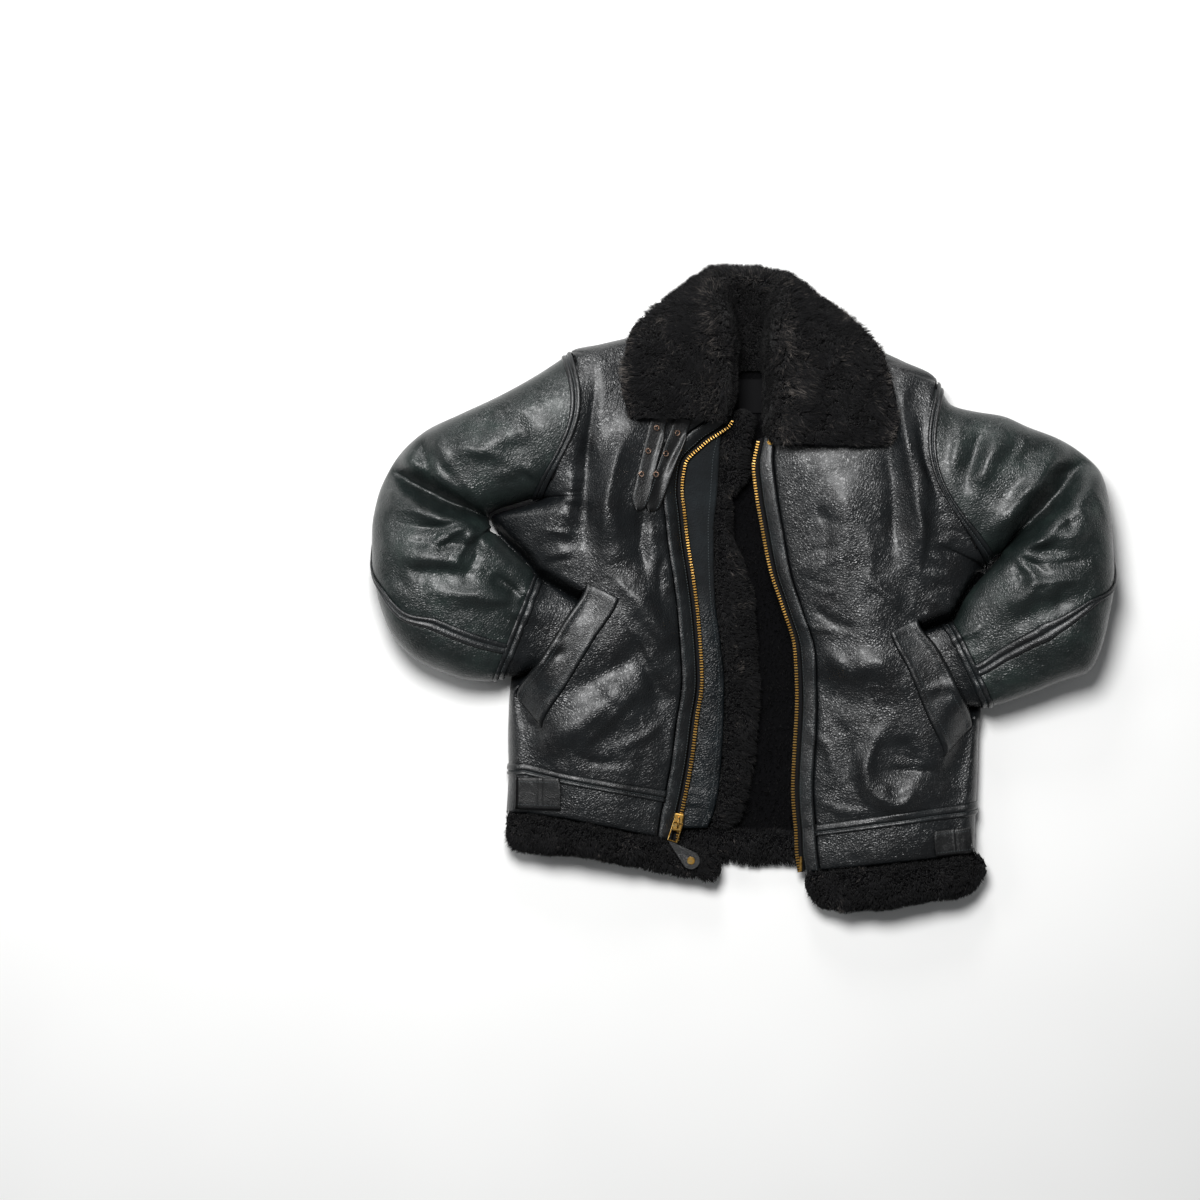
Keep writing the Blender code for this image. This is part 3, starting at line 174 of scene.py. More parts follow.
# One row for each upright section through a sleeve, from the armhole round the elbow to the cuff's end.
# in: the point on the inside of the bend. out: the point on the outside. low and high: the heights of the
# section. bow: how far it bends towards the body. seam: where the back seam lies, in degrees round it.
SLEEVE_COLUMNS = "section in_x in_y in_z out_x out_y low high bow seam"
RIGHT_SLEEVE = [
    (0, -263, 122, 22, -226, 311, 0, 84, 27, 205),
    (1, -280, 120, 24, -273, 280, 0, 90, 14, 205),
    (2, -299, 114, 26, -318, 255, 0, 92, 5, 205),
    (3, -318, 108, 28, -369, 231, 0, 93, 0, 205),
    (4, -332, 101, 30, -413, 210, 0, 92, 0, 205),
    (5, -333, 98, 30, -446, 182, 0, 84, 0, 205),
    (6, -334, 95, 32, -464, 157, 0, 62, 0, 205),
    (7, -334, 92, 40, -478, 122, 0, 88, 0, 205),
    (8, -333, 90, 46, -485, 79, 0, 100, 0, 200),
    (9, -332, 87, 48, -485, 38, 0, 104, 0, 182),
    (10, -330, 83, 50, -478, -5, 0, 105, 0, 150),
    (11, -332, 79, 50, -462, -51, 0, 104, 0, 130),
    (12, -321, 72, 48, -433, -86, 0, 100, 0, 112),
    (13, -307, 58, 46, -396, -105, 3, 96, 0, 109),
    (14, -291, 43, 44, -360, -116, 9, 88, 0, 108),
    (15, -278, 29, 42, -335, -118, 15, 80, 0, 108),
    (16, -268, 14, 41, -320, -114, 17, 73, 0, 108),
    (17, -246, 4, 40, -298, -110, 17, 63, 0, 108),
    (18, -225, -8, 38, -276, -103, 17, 58, 0, 108),
    (19, -202, -21, 37, -251, -109, 17, 56, 0, 108),
]
LEFT_SLEEVE = [
    (0, 316, 30, 12, 251, 272, 0, 84, 40, 205),
    (1, 318, 34, 16, 270, 242, 0, 88, 30, 205),
    (2, 321, 38, 18, 299, 234, 0, 90, 18, 205),
    (3, 325, 42, 20, 335, 228, 0, 92, 8, 205),
    (4, 329, 46, 22, 370, 213, 0, 92, 0, 205),
    (5, 332, 48, 24, 407, 199, 0, 88, 0, 205),
    (6, 334, 51, 28, 439, 181, 0, 64, 0, 205),
    (7, 335, 52, 36, 464, 153, 0, 88, 0, 205),
    (8, 335, 51, 44, 474, 112, 0, 100, 0, 203),
    (9, 334, 48, 48, 478, 64, 0, 104, 0, 195),
    (10, 332, 44, 50, 480, 14, 0, 106, 0, 168),
    (11, 326, 38, 50, 474, -27, 2, 105, 0, 123),
    (12, 318, 29, 50, 464, -70, 8, 102, 0, 104),
    (13, 308, 18, 48, 446, -105, 14, 98, 0, 95.5),
    (14, 298, 6, 46, 412, -117, 17, 92, 0, 96),
    (15, 287, -9, 44, 370, -134, 17, 84, 0, 96),
    (16, 268, -43, 41, 318, -150, 17, 74, 0, 95),
    (17, 247, -48, 40, 296, -150, 17, 62, 0, 89),
    (18, 208, -64, 37, 256, -152, 17, 56, 0, 88),
]
CUFF_SECTION = 16

# One row for each section through the collar, from the right throat round the neck to the left throat.
# neck: where it is sewn on. roll: the edge of the roll that shows from above. leaf: the outer edge.
COLLAR_COLUMNS = "section neck_x neck_y neck_z roll_x roll_y roll_z leaf_x leaf_y leaf_z"
COLLAR = [
    (0, -18, 226, 49.5, -24, 221, 96, -150, 224, 97),
    (1, -10, 246, 46, -18, 250, 102, -158, 256, 96),
    (2, -6, 264, 40, -16, 285, 104, -157, 298, 92),
    (3, -5, 274, 34, -16, 313, 104, -147, 336, 80),
    (4, -4, 280, 28, -18, 345, 100, -120, 361, 64),
    (5, -2, 284, 22, -22, 370, 92, -88, 384, 50),
    (6, 1, 286, 17, -24, 388, 78, -58, 405, 40),
    (7, 5, 286, 13, -14, 398, 60, -32, 413, 36),
    (8, 9, 286, 12, 8, 396, 50, 8, 412, 34),
    (9, 13, 286, 13, 28, 392, 58, 46, 407, 36),
    (10, 16, 286, 17, 34, 382, 76, 72, 397, 40),
    (11, 19, 284, 22, 33, 361, 92, 98, 378, 50),
    (12, 20, 282, 28, 31, 333, 100, 136, 350, 62),
    (13, 20, 276, 34, 30, 300, 104, 170, 317, 78),
    (14, 20, 268, 40, 30, 268, 104, 186, 279, 92),
    (15, 20, 248, 46, 27, 235, 102, 194, 236, 97),
    (16, 20, 225, 50, 26, 210, 98, 193, 204, 98),
    (17, 23, 205, 51.5, 30, 193, 95, 180, 187, 97),
]
# How far the back's rows dip at the neck, by level.
NECK_DIP = ((0.8, 0), (0.9, 5), (1.0, 32), (1.07, 36), (1.14, 37), (1.2, 37))
NECK_WIDTH = 62.0
COLLAR_WOOL = 13.0
COLLAR_LEATHER = 2.0
COLLAR_SEAT = 4.2

# Folds and creases: the points of each crest or trough, then its height and its half width.
RIGHT_BODY_FOLDS = [
    ([(-148, 213), (-165, 179), (-174, 143), (-178, 104), (-172, 50)], 13, 17),
    ([(-202, 209), (-208, 144), (-211, 66)], -11, 13),
    ([(-128, 116), (-136, 66), (-128, 16)], -9, 14),
    ([(-218, 155), (-230, 109), (-238, 62)], 8, 12),
    ([(-150, 4), (-118, -40), (-92, -82)], 10, 16),
    ([(-236, -132), (-180, -106), (-126, -72)], -7, 18),
    ([(-120, -100), (-112, -160)], -7, 16),
    ([(-138, -118), (-190, -160), (-264, -200)], 9, 19),
    ([(-250, 124), (-254, 87), (-265, 57)], 4, 7),
    ([(-166, -32), (-134, -64), (-90, -135)], 3.5, 8),
    ([(-152, -44), (-136, -83), (-117, -129)], -4, 7),
    ([(-136, -124), (-182, -174), (-221, -209)], 2.5, 6),
    ([(-256, -187), (-280, -170)], -5, 8),
    ([(-110, 157), (-124, 92), (-117, 27)], 3, 9),
    ([(-148, 213), (-165, 177), (-177, 131), (-182, 104), (-185, 34)], 2.5, 5),
    ([(-194, 274), (-202, 209), (-208, 144)], -4, 7),
    ([(-96, 60), (-112, 22), (-108, -20)], -2.5, 6),
    ([(-170, 20), (-150, -4), (-120, -14)], 2.5, 7),
    ([(-200, -120), (-176, -146), (-140, -160)], -3, 7),
    ([(-100, -160), (-128, -188), (-170, -206)], 2.5, 7),
    ([(-230, -200), (-200, -222), (-150, -226)], -2.5, 6),
    ([(-84, -150), (-96, -196), (-92, -236)], 2, 6),
]
LEFT_BODY_FOLDS = [
    ([(200, 250), (212, 187), (224, 134), (224, 79), (214, 32)], 12, 15),
    ([(182, 196), (192, 118), (191, 40)], -9, 14),
    ([(84, -122), (136, -142), (206, -152)], -5, 24),
    ([(110, 150), (130, 90), (120, 20)], 6, 30),
    ([(240, -262), (198, -276), (168, -260), (156, -232), (166, -192)], 10, 15),
    ([(236, -222), (204, -214), (200, -184)], -8, 18),
    ([(90, -94), (150, -92), (204, -112)], 8, 19),
    ([(212, 280), (203, 235), (208, 176), (217, 120), (228, 77), (224, 22), (217, -30)], 3, 6),
    ([(155, 18), (182, -4), (209, -26)], 4, 8),
    ([(100, -69), (136, -105), (173, -95)], 4, 9),
    ([(191, -164), (166, -198), (155, -234), (162, -263), (199, -285)], 3.5, 7),
    ([(173, -234), (208, -234), (254, -234)], -5, 8),
    ([(92, 120), (106, 70), (98, 10)], -2.5, 8),
    ([(150, 90), (162, 40), (150, -10)], 2.5, 7),
    ([(86, -20), (120, -44), (150, -50)], -3, 7),
    ([(84, -180), (108, -206), (120, -250)], 3, 8),
    ([(110, -160), (134, -196), (136, -240)], -3, 7),
    ([(230, -130), (262, -122), (286, -130)], 2.5, 7),
    ([(90, -270), (130, -286), (170, -288)], 2, 6),
]
RIGHT_SLEEVE_FOLDS = [
    ([(-421, 206), (-414, 168), (-404, 132)], -10, 9),
    ([(-446, 190), (-436, 162), (-428, 138)], 6, 10),
    ([(-400, 204), (-392, 176), (-384, 150)], 5, 10),
    ([(-390, 190), (-350, 185), (-300, 200)], 7, 16),
    ([(-334, 16), (-309, 4), (-289, -10)], -9, 10),
    ([(-387, -8), (-334, -6), (-300, -8)], 7, 12),
    ([(-460, 60), (-420, 50), (-370, 45)], 6, 16),
    ([(-440, 28), (-400, 24), (-360, 22)], -5, 12),
    ([(-407, 190), (-396, 168), (-381, 144)], -5, 6),
    ([(-358, 181), (-332, 177), (-309, 168)], 3.5, 7),
    ([(-291, 162), (-273, 152), (-261, 144)], 4, 7),
    ([(-291, 153), (-280, 144), (-274, 136)], -4, 5),
    ([(-448, 66), (-396, 58), (-344, 60)], -4.5, 7),
    ([(-442, 40), (-396, 38), (-344, 30)], 4, 7),
    ([(-333, 27), (-309, 10), (-289, -10)], -3, 5),
    ([(-396, -1), (-358, -4), (-321, 1)], 3, 5),
    ([(-358, -12), (-325, -12), (-295, -12)], 3, 5),
    ([(-350, 250), (-338, 226), (-330, 200)], -3, 7),
    ([(-340, 96), (-400, 122), (-468, 162)], -16, 8),
    ([(-346, 120), (-396, 148), (-440, 176)], 6, 12),
    ([(-296, 34), (-354, 74), (-414, 102), (-474, 142)], 10, 12),
    ([(-470, 110), (-430, 104), (-380, 96)], 4, 7),
    ([(-474, 92), (-436, 84), (-392, 80)], -4, 6),
    ([(-440, -30), (-400, -40), (-360, -52)], -3, 6),
    ([(-300, 240), (-292, 214), (-276, 190)], 3, 8),
]
LEFT_SLEEVE_FOLDS = [
    ([(304, 215), (298, 187), (284, 140)], -7, 10),
    ([(335, 205), (312, 172), (296, 129)], 7, 12),
    ([(345, 165), (370, 180), (400, 188)], -6, 11),
    ([(447, 120), (428, 79), (396, 48)], 7, 14),
    ([(412, 17), (367, -1), (330, -20)], 7, 14),
    ([(430, -5), (380, -28), (335, -48)], -6, 12),
    ([(384, 147), (422, 157), (459, 168)], -5, 7),
    ([(322, 42), (380, 96), (440, 168)], -15, 8),
    ([(300, 60), (352, 112), (410, 180)], 7, 12),
    ([(324, 22), (392, 80), (462, 148)], 10, 12),
    ([(340, 120), (372, 132), (410, 134)], 4, 7),
    ([(350, 92), (392, 104), (440, 110)], -4, 6),
    ([(360, 60), (402, 70), (450, 76)], 3.5, 7),
    ([(350, 36), (396, 34), (446, 42)], -4, 6),
    ([(340, 8), (384, 12), (436, 14)], 3, 6),
    ([(330, -70), (370, -60), (420, -60)], 3, 6),
    ([(320, -86), (352, -90), (392, -96)], -3, 6),
    ([(280, 230), (274, 196), (264, 150)], 3, 7),
    ([(356, 208), (346, 184), (330, 160)], -3, 6),
]
# The two waist tapes where they cross the wind flap.
FLAP_RIDGES = [
    ([(-88, -259), (-60, -266), (-32, -271)], 2.6, 3.6),
    ([(-88, -271), (-60, -277), (-32, -282)], 2.6, 3.6),
]
# Bands of short uneven creases across a line: the line, how many, their reach, height, half width and seed.
RIGHT_BODY_CRINKLES = [
    ([(-208, 159), (-224, 117), (-235, 73), (-244, 29)], 11, 30, 2.4, 4.0, 3),
    ([(-269, 40), (-262, -30), (-232, -96)], 7, 26, 1.8, 4.0, 4),
    ([(-120, 130), (-100, 40), (-96, -60)], 8, 40, 1.2, 5.0, 5),
    ([(-250, -215), (-170, -215), (-100, -245)], 8, 24, 1.5, 4.5, 6),
]
LEFT_BODY_CRINKLES = [
    ([(260, 83), (250, 32), (242, -32)], 9, 30, 2.4, 4.0, 7),
    ([(235, 210), (250, 150), (262, 100)], 6, 26, 1.8, 4.0, 8),
    ([(110, 110), (96, 30), (100, -60)], 8, 40, 1.2, 5.0, 9),
    ([(110, -285), (170, -262), (270, -262)], 8, 24, 1.5, 4.5, 10),
]
RIGHT_SLEEVE_CRINKLES = [
    ([(-269, 13), (-292, -40), (-321, -116)], 10, 44, 3.0, 4.5, 11),
    ([(-352, 110), (-400, 118), (-462, 120)], 8, 34, 2.4, 4.5, 12),
    ([(-300, 130), (-290, 200), (-270, 270)], 7, 30, 1.8, 4.5, 13),
    ([(-350, 40), (-420, 20), (-468, 0)], 8, 40, 1.8, 5.0, 14),
]
LEFT_SLEEVE_CRINKLES = [
    ([(268, -43), (290, -90), (318, -150)], 10, 44, 3.0, 4.5, 15),
    ([(345, 74), (400, 96), (462, 110)], 8, 34, 2.4, 4.5, 16),
    ([(318, 60), (300, 140), (282, 236)], 7, 30, 1.8, 4.5, 17),
    ([(345, 20), (400, 0), (456, -20)], 8, 40, 1.8, 5.0, 18),
]
# Creases that run out from the inside of each elbow: the point, first and last angle, count, near and far
# ends, and seed.
RIGHT_ELBOW = ((-342, 92), 118, 262, 9, 12, 92, 21)
LEFT_ELBOW = ((335, 52), -70, 66, 9, 12, 92, 22)

# Where each hem's worn wool ends, by its place across the jacket.
HEM_COLUMNS = "x bottom_y"
RIGHT_HEM = [
    (-312, -325),
    (-300, -337),
    (-265, -342),
    (-225, -345),
    (-186, -350),
    (-150, -359),
    (-112, -366),
    (-80, -372),
    (-50, -376),
    (-26, -374),
]
LEFT_HEM = [
    (83, -394),
    (96, -412),
    (130, -417),
    (170, -415),
    (215, -408),
    (260, -401),
    (295, -393),
    (310, -382),
]
BACK_HEM = [
    (-300, -322),
    (-240, -345),
    (-150, -353),
    (-50, -357),
    (20, -358),
    (100, -364),
    (200, -376),
    (290, -375),
]

# The wind flap: leather from under the zip to the edge column, then wool to the rim column.
FLAP_COLUMNS = "y edge_x rim_x edge_z"
FLAP = [
    (190, -32, 8, 33),
    (150, -34, 6, 30),
    (122, -36, -16, 29),
    (82, -40, -17, 28),
    (38, -40, -2, 27),
    (-12, -38, 12, 26),
    (-66, -31, 16, 25),
    (-120, -26, 19, 24),
    (-170, -27, 17, 23),
    (-210, -29, 14, 22),
    (-250, -32, 6, 21),
    (-290, -40, -4, 21),
    (-310, -48, -12, 21),
]
# The collar straps: where each comes out from under the collar, and its tip.
STRAPS = {
    "collar_strap_upper": ((-111, 226), (-140, 104)),
    "collar_strap_lower": ((-80, 224), (-124, 102)),
}
STRAP_WIDTH = 22.0
# The waist tabs: both ends of each and its width.
TABS = {
    "right": ((-298, -263), (-240, -264), 42),
    "left": ((247, -329), (296, -324), 34),
}


def columns(names, table):
    """The table as one array for each named column."""
    return dict(zip(names.split(), np.array(table, float).T))


def smooth(keys, values, at):
    """A monotone cubic through the rows of a table, read at other places along it."""
    keys = np.asarray(keys, float)
    values = np.asarray(values, float)
    at = np.asarray(at, float)
    steps = np.diff(keys)
    slopes = np.diff(values) / steps
    rates = np.zeros(len(keys))
    rates[0], rates[-1] = slopes[0], slopes[-1]
    product = slopes[:-1] * slopes[1:]
    total = np.where(product > 0, slopes[:-1] + slopes[1:], 1.0)
    rates[1:-1] = np.where(product > 0, 2 * product / total, 0.0)
    place = np.clip(np.searchsorted(keys, at, side="right") - 1, 0, len(steps) - 1)
    t = (at - keys[place]) / steps[place]
    a, b = values[place], values[place + 1]
    da, db = rates[place] * steps[place], rates[place + 1] * steps[place]
    return a + da * t + (3 * (b - a) - 2 * da - db) * t**2 + (2 * (a - b) + da + db) * t**3


def read(names, table, at):
    """Every column of a table, read smoothly at the given places of its first column."""
    held = columns(names, table)
    first = names.split()[0]
    return {name: smooth(held[first], held[name], at) for name in names.split()[1:]}


def distances(line):
    """How far along a line each of its points lies."""
    return np.concatenate(([0], np.cumsum(np.linalg.norm(np.diff(line, axis=0), axis=1))))


def points_at(line, runs, at):
    """The points of a line at other distances along it."""
    return np.column_stack([np.interp(at, runs, line[:, axis]) for axis in range(3)])


def place_of(held, name, axes="xyz"):
    """A point of each row of a table, from its columns."""
    return np.column_stack([held[f"{name}_{axis}"] for axis in axes])


def unit(vectors):
    return vectors / np.maximum(np.linalg.norm(vectors, axis=-1, keepdims=True), 1e-9)


def signed_power(value, power):
    return np.sign(value) * np.abs(value) ** power


def ease(value):
    value = np.clip(value, 0.0, 1.0)
    return value * value * (3 - 2 * value)


def flowing(line, count=24):
    """A line through a few points, made smooth and finely divided."""
    line = np.array(line, float)
    if len(line) < 3:
        line = np.array([line[0], 0.5 * (line[0] + line[1]), line[1]])
    runs = distances(line)
    at = np.linspace(0, runs[-1], count)
    return np.column_stack([smooth(runs, line[:, axis], at) for axis in range(line.shape[1])])


def crinkles(line, count, reach, height, half_width, seed):
    """Short uneven creases across a line, as leather makes where it is bent often."""
    rng = np.random.default_rng(seed)
    line = flowing(line, 60)
    found = []
    for number in range(count):
        index = int(np.clip(59 * (number + 0.5 + rng.uniform(-0.3, 0.3)) / count, 1, 58))
        way = unit(line[index + 1] - line[index - 1])
        turn = math.radians(90 + rng.uniform(-28, 28))
        cross = np.array((way[0] * math.cos(turn) - way[1] * math.sin(turn),
                          way[0] * math.sin(turn) + way[1] * math.cos(turn)))
        centre = line[index] + cross * rng.uniform(-0.25, 0.25) * reach
        half = 0.5 * reach * rng.uniform(0.55, 1.25)
        bent = centre + way * rng.uniform(-0.12, 0.12) * reach
        sign = 1.0 if number % 2 else -0.9
        found.append(([centre - cross * half, bent, centre + cross * half],
                      sign * height * rng.uniform(0.5, 1.25), half_width * rng.uniform(0.75, 1.35)))
    return found


def radials(centre, first, last, count, near, far, seed):
    """Creases that spread from the inside of an elbow."""
    rng = np.random.default_rng(seed)
    found = []
    for number in range(count):
        angle = math.radians(first + (last - first) * (number + 0.5 + rng.uniform(-0.2, 0.2)) / count)
        out = np.array((math.cos(angle), math.sin(angle)))
        side = np.array((-out[1], out[0]))
        start = np.array(centre) + out * near * rng.uniform(0.8, 1.6)
        finish = np.array(centre) + out * far * rng.uniform(0.55, 1.0)
        middle = 0.5 * (start + finish) + side * rng.uniform(-7, 7)
        sign = 1.0 if number % 2 else -1.0
        found.append(([start, middle, finish], sign * rng.uniform(2.5, 4.5), rng.uniform(5, 8)))
    return found


def fold_height(points, folds):
    """The height that folds add at each point. They fade at their ends, and troughs are sharper."""
    total = np.zeros(points.shape[:-1])
    flat = points[..., :2]
    for line, height, half_width in folds:
        line = flowing(line)
        spans = np.linalg.norm(np.diff(line, axis=0), axis=1)
        runs = np.concatenate(([0], np.cumsum(spans)))
        low, high = line.min(axis=0) - 3.2 * half_width, line.max(axis=0) + 3.2 * half_width
        near = np.all((flat >= low) & (flat <= high), axis=-1)
        here = flat[near]
        if not len(here):
            continue
        nearest = np.full(len(here), 1e9)
        along = np.zeros(len(here))
        for start, end, run, span in zip(line[:-1], line[1:], runs, spans):
            way = end - start
            t = np.clip(((here - start) @ way) / (way @ way), 0, 1)
            reach = np.linalg.norm(here - (start + t[:, None] * way), axis=-1)
            closer = reach < nearest
            nearest = np.where(closer, reach, nearest)
            along = np.where(closer, run + t * span, along)
        taper = 0.3 + 0.7 * ease(np.minimum(along, runs[-1] - along) / (0.3 * runs[-1]))
        power = 2.0 if height > 0 else 1.6
        total[near] += height * taper * np.exp(-((nearest / half_width) ** power))
    return total


def ripple(points, size, seed):
    """A smooth uneven value between about -1 and 1, whose swells are about this size in millimetres."""
    rng = np.random.default_rng(seed)
    total = np.zeros(points.shape[:-1])
    for _ in range(9):
        way = unit(rng.normal(size=3))
        total += np.sin(points @ way * (math.tau / (size * rng.uniform(0.7, 1.7))) + rng.uniform(0, math.tau))
    return total / 4.0


def grid_normals(points):
    """Outward normals of a grid whose rows run up the jacket and whose columns run to the wearer's left."""
    across = np.gradient(points, axis=1)
    along = np.gradient(points, axis=0)
    return unit(np.cross(across, along))


def sewn_down(points, normals, depth=1.6):
    """Rolls the four sides of a panel down into their seams."""
    rows = np.concatenate((np.zeros((1, points.shape[1])), np.cumsum(
        np.linalg.norm(np.diff(points, axis=0), axis=2), axis=0)))
    cross = np.concatenate((np.zeros((points.shape[0], 1)), np.cumsum(
        np.linalg.norm(np.diff(points, axis=1), axis=2), axis=1)), axis=1)
    nearest = np.min([rows, rows[-1:] - rows, cross, cross[:, -1:] - cross], axis=0)
    return points - normals * (depth * np.exp(-((nearest / SEAM_REACH) ** 2)))[..., None]


def ring(place, angles):
    """Points of one upright section and their outward normals in its plane."""
    start = np.array((place["in_x"], place["in_y"]))
    end = np.array((place["out_x"], place["out_y"]))
    angles = np.radians(angles)
    across = signed_power(np.cos(angles), 2 / ROUND)
    w = 0.5 - 0.5 * across
    lift = signed_power(np.sin(angles), 2 / ROUND)
    chord = end - start
    side = np.array((-chord[1], chord[0])) / np.linalg.norm(chord)
    towards_body = side if side[0] * start[0] < 0 else -side
    bow = place["bow"] * np.sin(math.pi * w**1.3)
    plan = start + w[:, None] * chord + bow[:, None] * towards_body
    out_z = place["low"] + 0.42 * (place["high"] - place["low"])
    middle = place["in_z"] + (out_z - place["in_z"]) * w
    top = middle + (place["high"] - middle) * lift
    bottom = middle + (middle - place["low"] + FLOOR_FLAT) * lift
    z = np.where(lift >= 0, top, np.maximum(bottom, place["low"]))
    points = np.column_stack((plan, z))
    centre = np.append(start + 0.5 * chord, place["low"] + 0.5 * (place["high"] - place["low"]))
    whole = len(points) > 3 and np.linalg.norm(points[0] - points[-1]) < 1e-6
    distinct = points[:-1] if whole else points
    tangent = np.roll(distinct, -1, axis=0) - np.roll(distinct, 1, axis=0)
    if whole:
        tangent = np.concatenate((tangent, tangent[:1]))
    elif len(points) > 3:
        tangent = np.gradient(points, axis=0)
    direction = unit(chord)
    along, rise = tangent[:, :2] @ direction, tangent[:, 2]
    normals = unit(np.column_stack((direction[0] * rise, direction[1] * rise, -along)))
    outward = np.sign(np.sum(normals * (points - centre), axis=1))
    normals *= np.where(outward == 0, 1, outward)[:, None]
    return points, normals


def angle_at(share):
    """The angle at which a section's top lies over this share of the way from its inside to its outside."""
    return np.degrees(np.arccos(signed_power(np.clip(1 - 2 * np.asarray(share), -1, 1), ROUND / 2)))


def sleeve_surface(sleeve, steps, angles_for):
    """Points and normals of a sleeve: a row for each section, at angles that depend on its back seam."""
    held = read(SLEEVE_COLUMNS, sleeve["table"], steps)
    points, normals, calm = [], [], []
    for i in range(len(steps)):
        place = {name: values[i] for name, values in held.items()}
        angles = angles_for(place["seam"])
        row, row_normals = ring(place, angles)
        points.append(row)
        normals.append(row_normals)
        calm.append(1 - 0.8 * np.exp(-(((angles - place["seam"]) / SEAM_TAPE_ANGLE) ** 2)))
    points, normals = np.array(points), np.array(normals)
    facing_up = np.clip(normals[..., 2], 0, 1) * np.array(calm)
    fade = ease(np.asarray(steps, float)[:, None] / 1.5)
    points[..., 2] += fold_height(points, sleeve["folds"]) * facing_up * fade
    points += normals * (0.9 * ripple(points, 42, sleeve["seed"]) * (0.3 + 0.7 * fade) * facing_up)[..., None]
    turned = grid_normals(points)
    turned *= np.where(np.sum(turned * normals, axis=-1, keepdims=True) < 0, -1, 1)
    return points, turned


def up_to_seam(angles, seam):
    """Angles drawn in evenly, so that they end at the place that the back seam has in this section."""
    return INNER_SEAM + (angles - INNER_SEAM) * (seam - INNER_SEAM) / (BACK_SEAM - INNER_SEAM)


def top_angles(seam):
    """Angles of the top sleeve, from the inner seam over the top to the back seam."""
    over = (np.linspace(INNER_SEAM, 0, 5)[:-1], angle_at(SHARES), np.linspace(180, BACK_SEAM, 6)[1:])
    return up_to_seam(np.concatenate(over), seam)


def under_angles(seam):
    """Angles of the under sleeve, from the back seam beneath to the inner seam."""
    return np.linspace(seam, 360 + INNER_SEAM, 28)


def whole_angles(_seam):
    """Angles all round, with the first one again at the end. They don't depend on the back seam."""
    return np.linspace(-20, 340, 73)


def over_angles(seam):
    """Angles over which a tape runs across the top of a sleeve."""
    return up_to_seam(angle_at(SHARES), seam)


def across_angles(_seam):
    """Angles right across the top of a sleeve, from edge to edge."""
    return np.linspace(-20, 200, 56)


def band_of(points, normals, wide, rows=15):
    """The start of a grid, cut to one width from its first row, whatever the spacing of its rows."""
    band = np.empty((rows, points.shape[1], 3))
    ups = np.empty_like(band)
    for j in range(points.shape[1]):
        runs = distances(points[:, j])
        at = np.linspace(0, min(wide, runs[-1]), rows)
        band[:, j] = points_at(points[:, j], runs, at)
        ups[:, j] = points_at(normals[:, j], runs, at)
    return band, unit(ups)


def seam_angles(seam):
    """Angles over which the tape on the back seam runs."""
    return np.linspace(seam - SEAM_TAPE_ANGLE / 2, seam + SEAM_TAPE_ANGLE / 2, 11)


def across_line(points, line_x, line_y, above):
    """How far points lie past a line, positive beyond it."""
    order = np.argsort(line_x)
    line_x, line_y = np.asarray(line_x)[order], np.asarray(line_y)[order]
    level = np.interp(points[..., 0], line_x, line_y)
    return (points[..., 1] - level) * (1 if above else -1) * 0.85


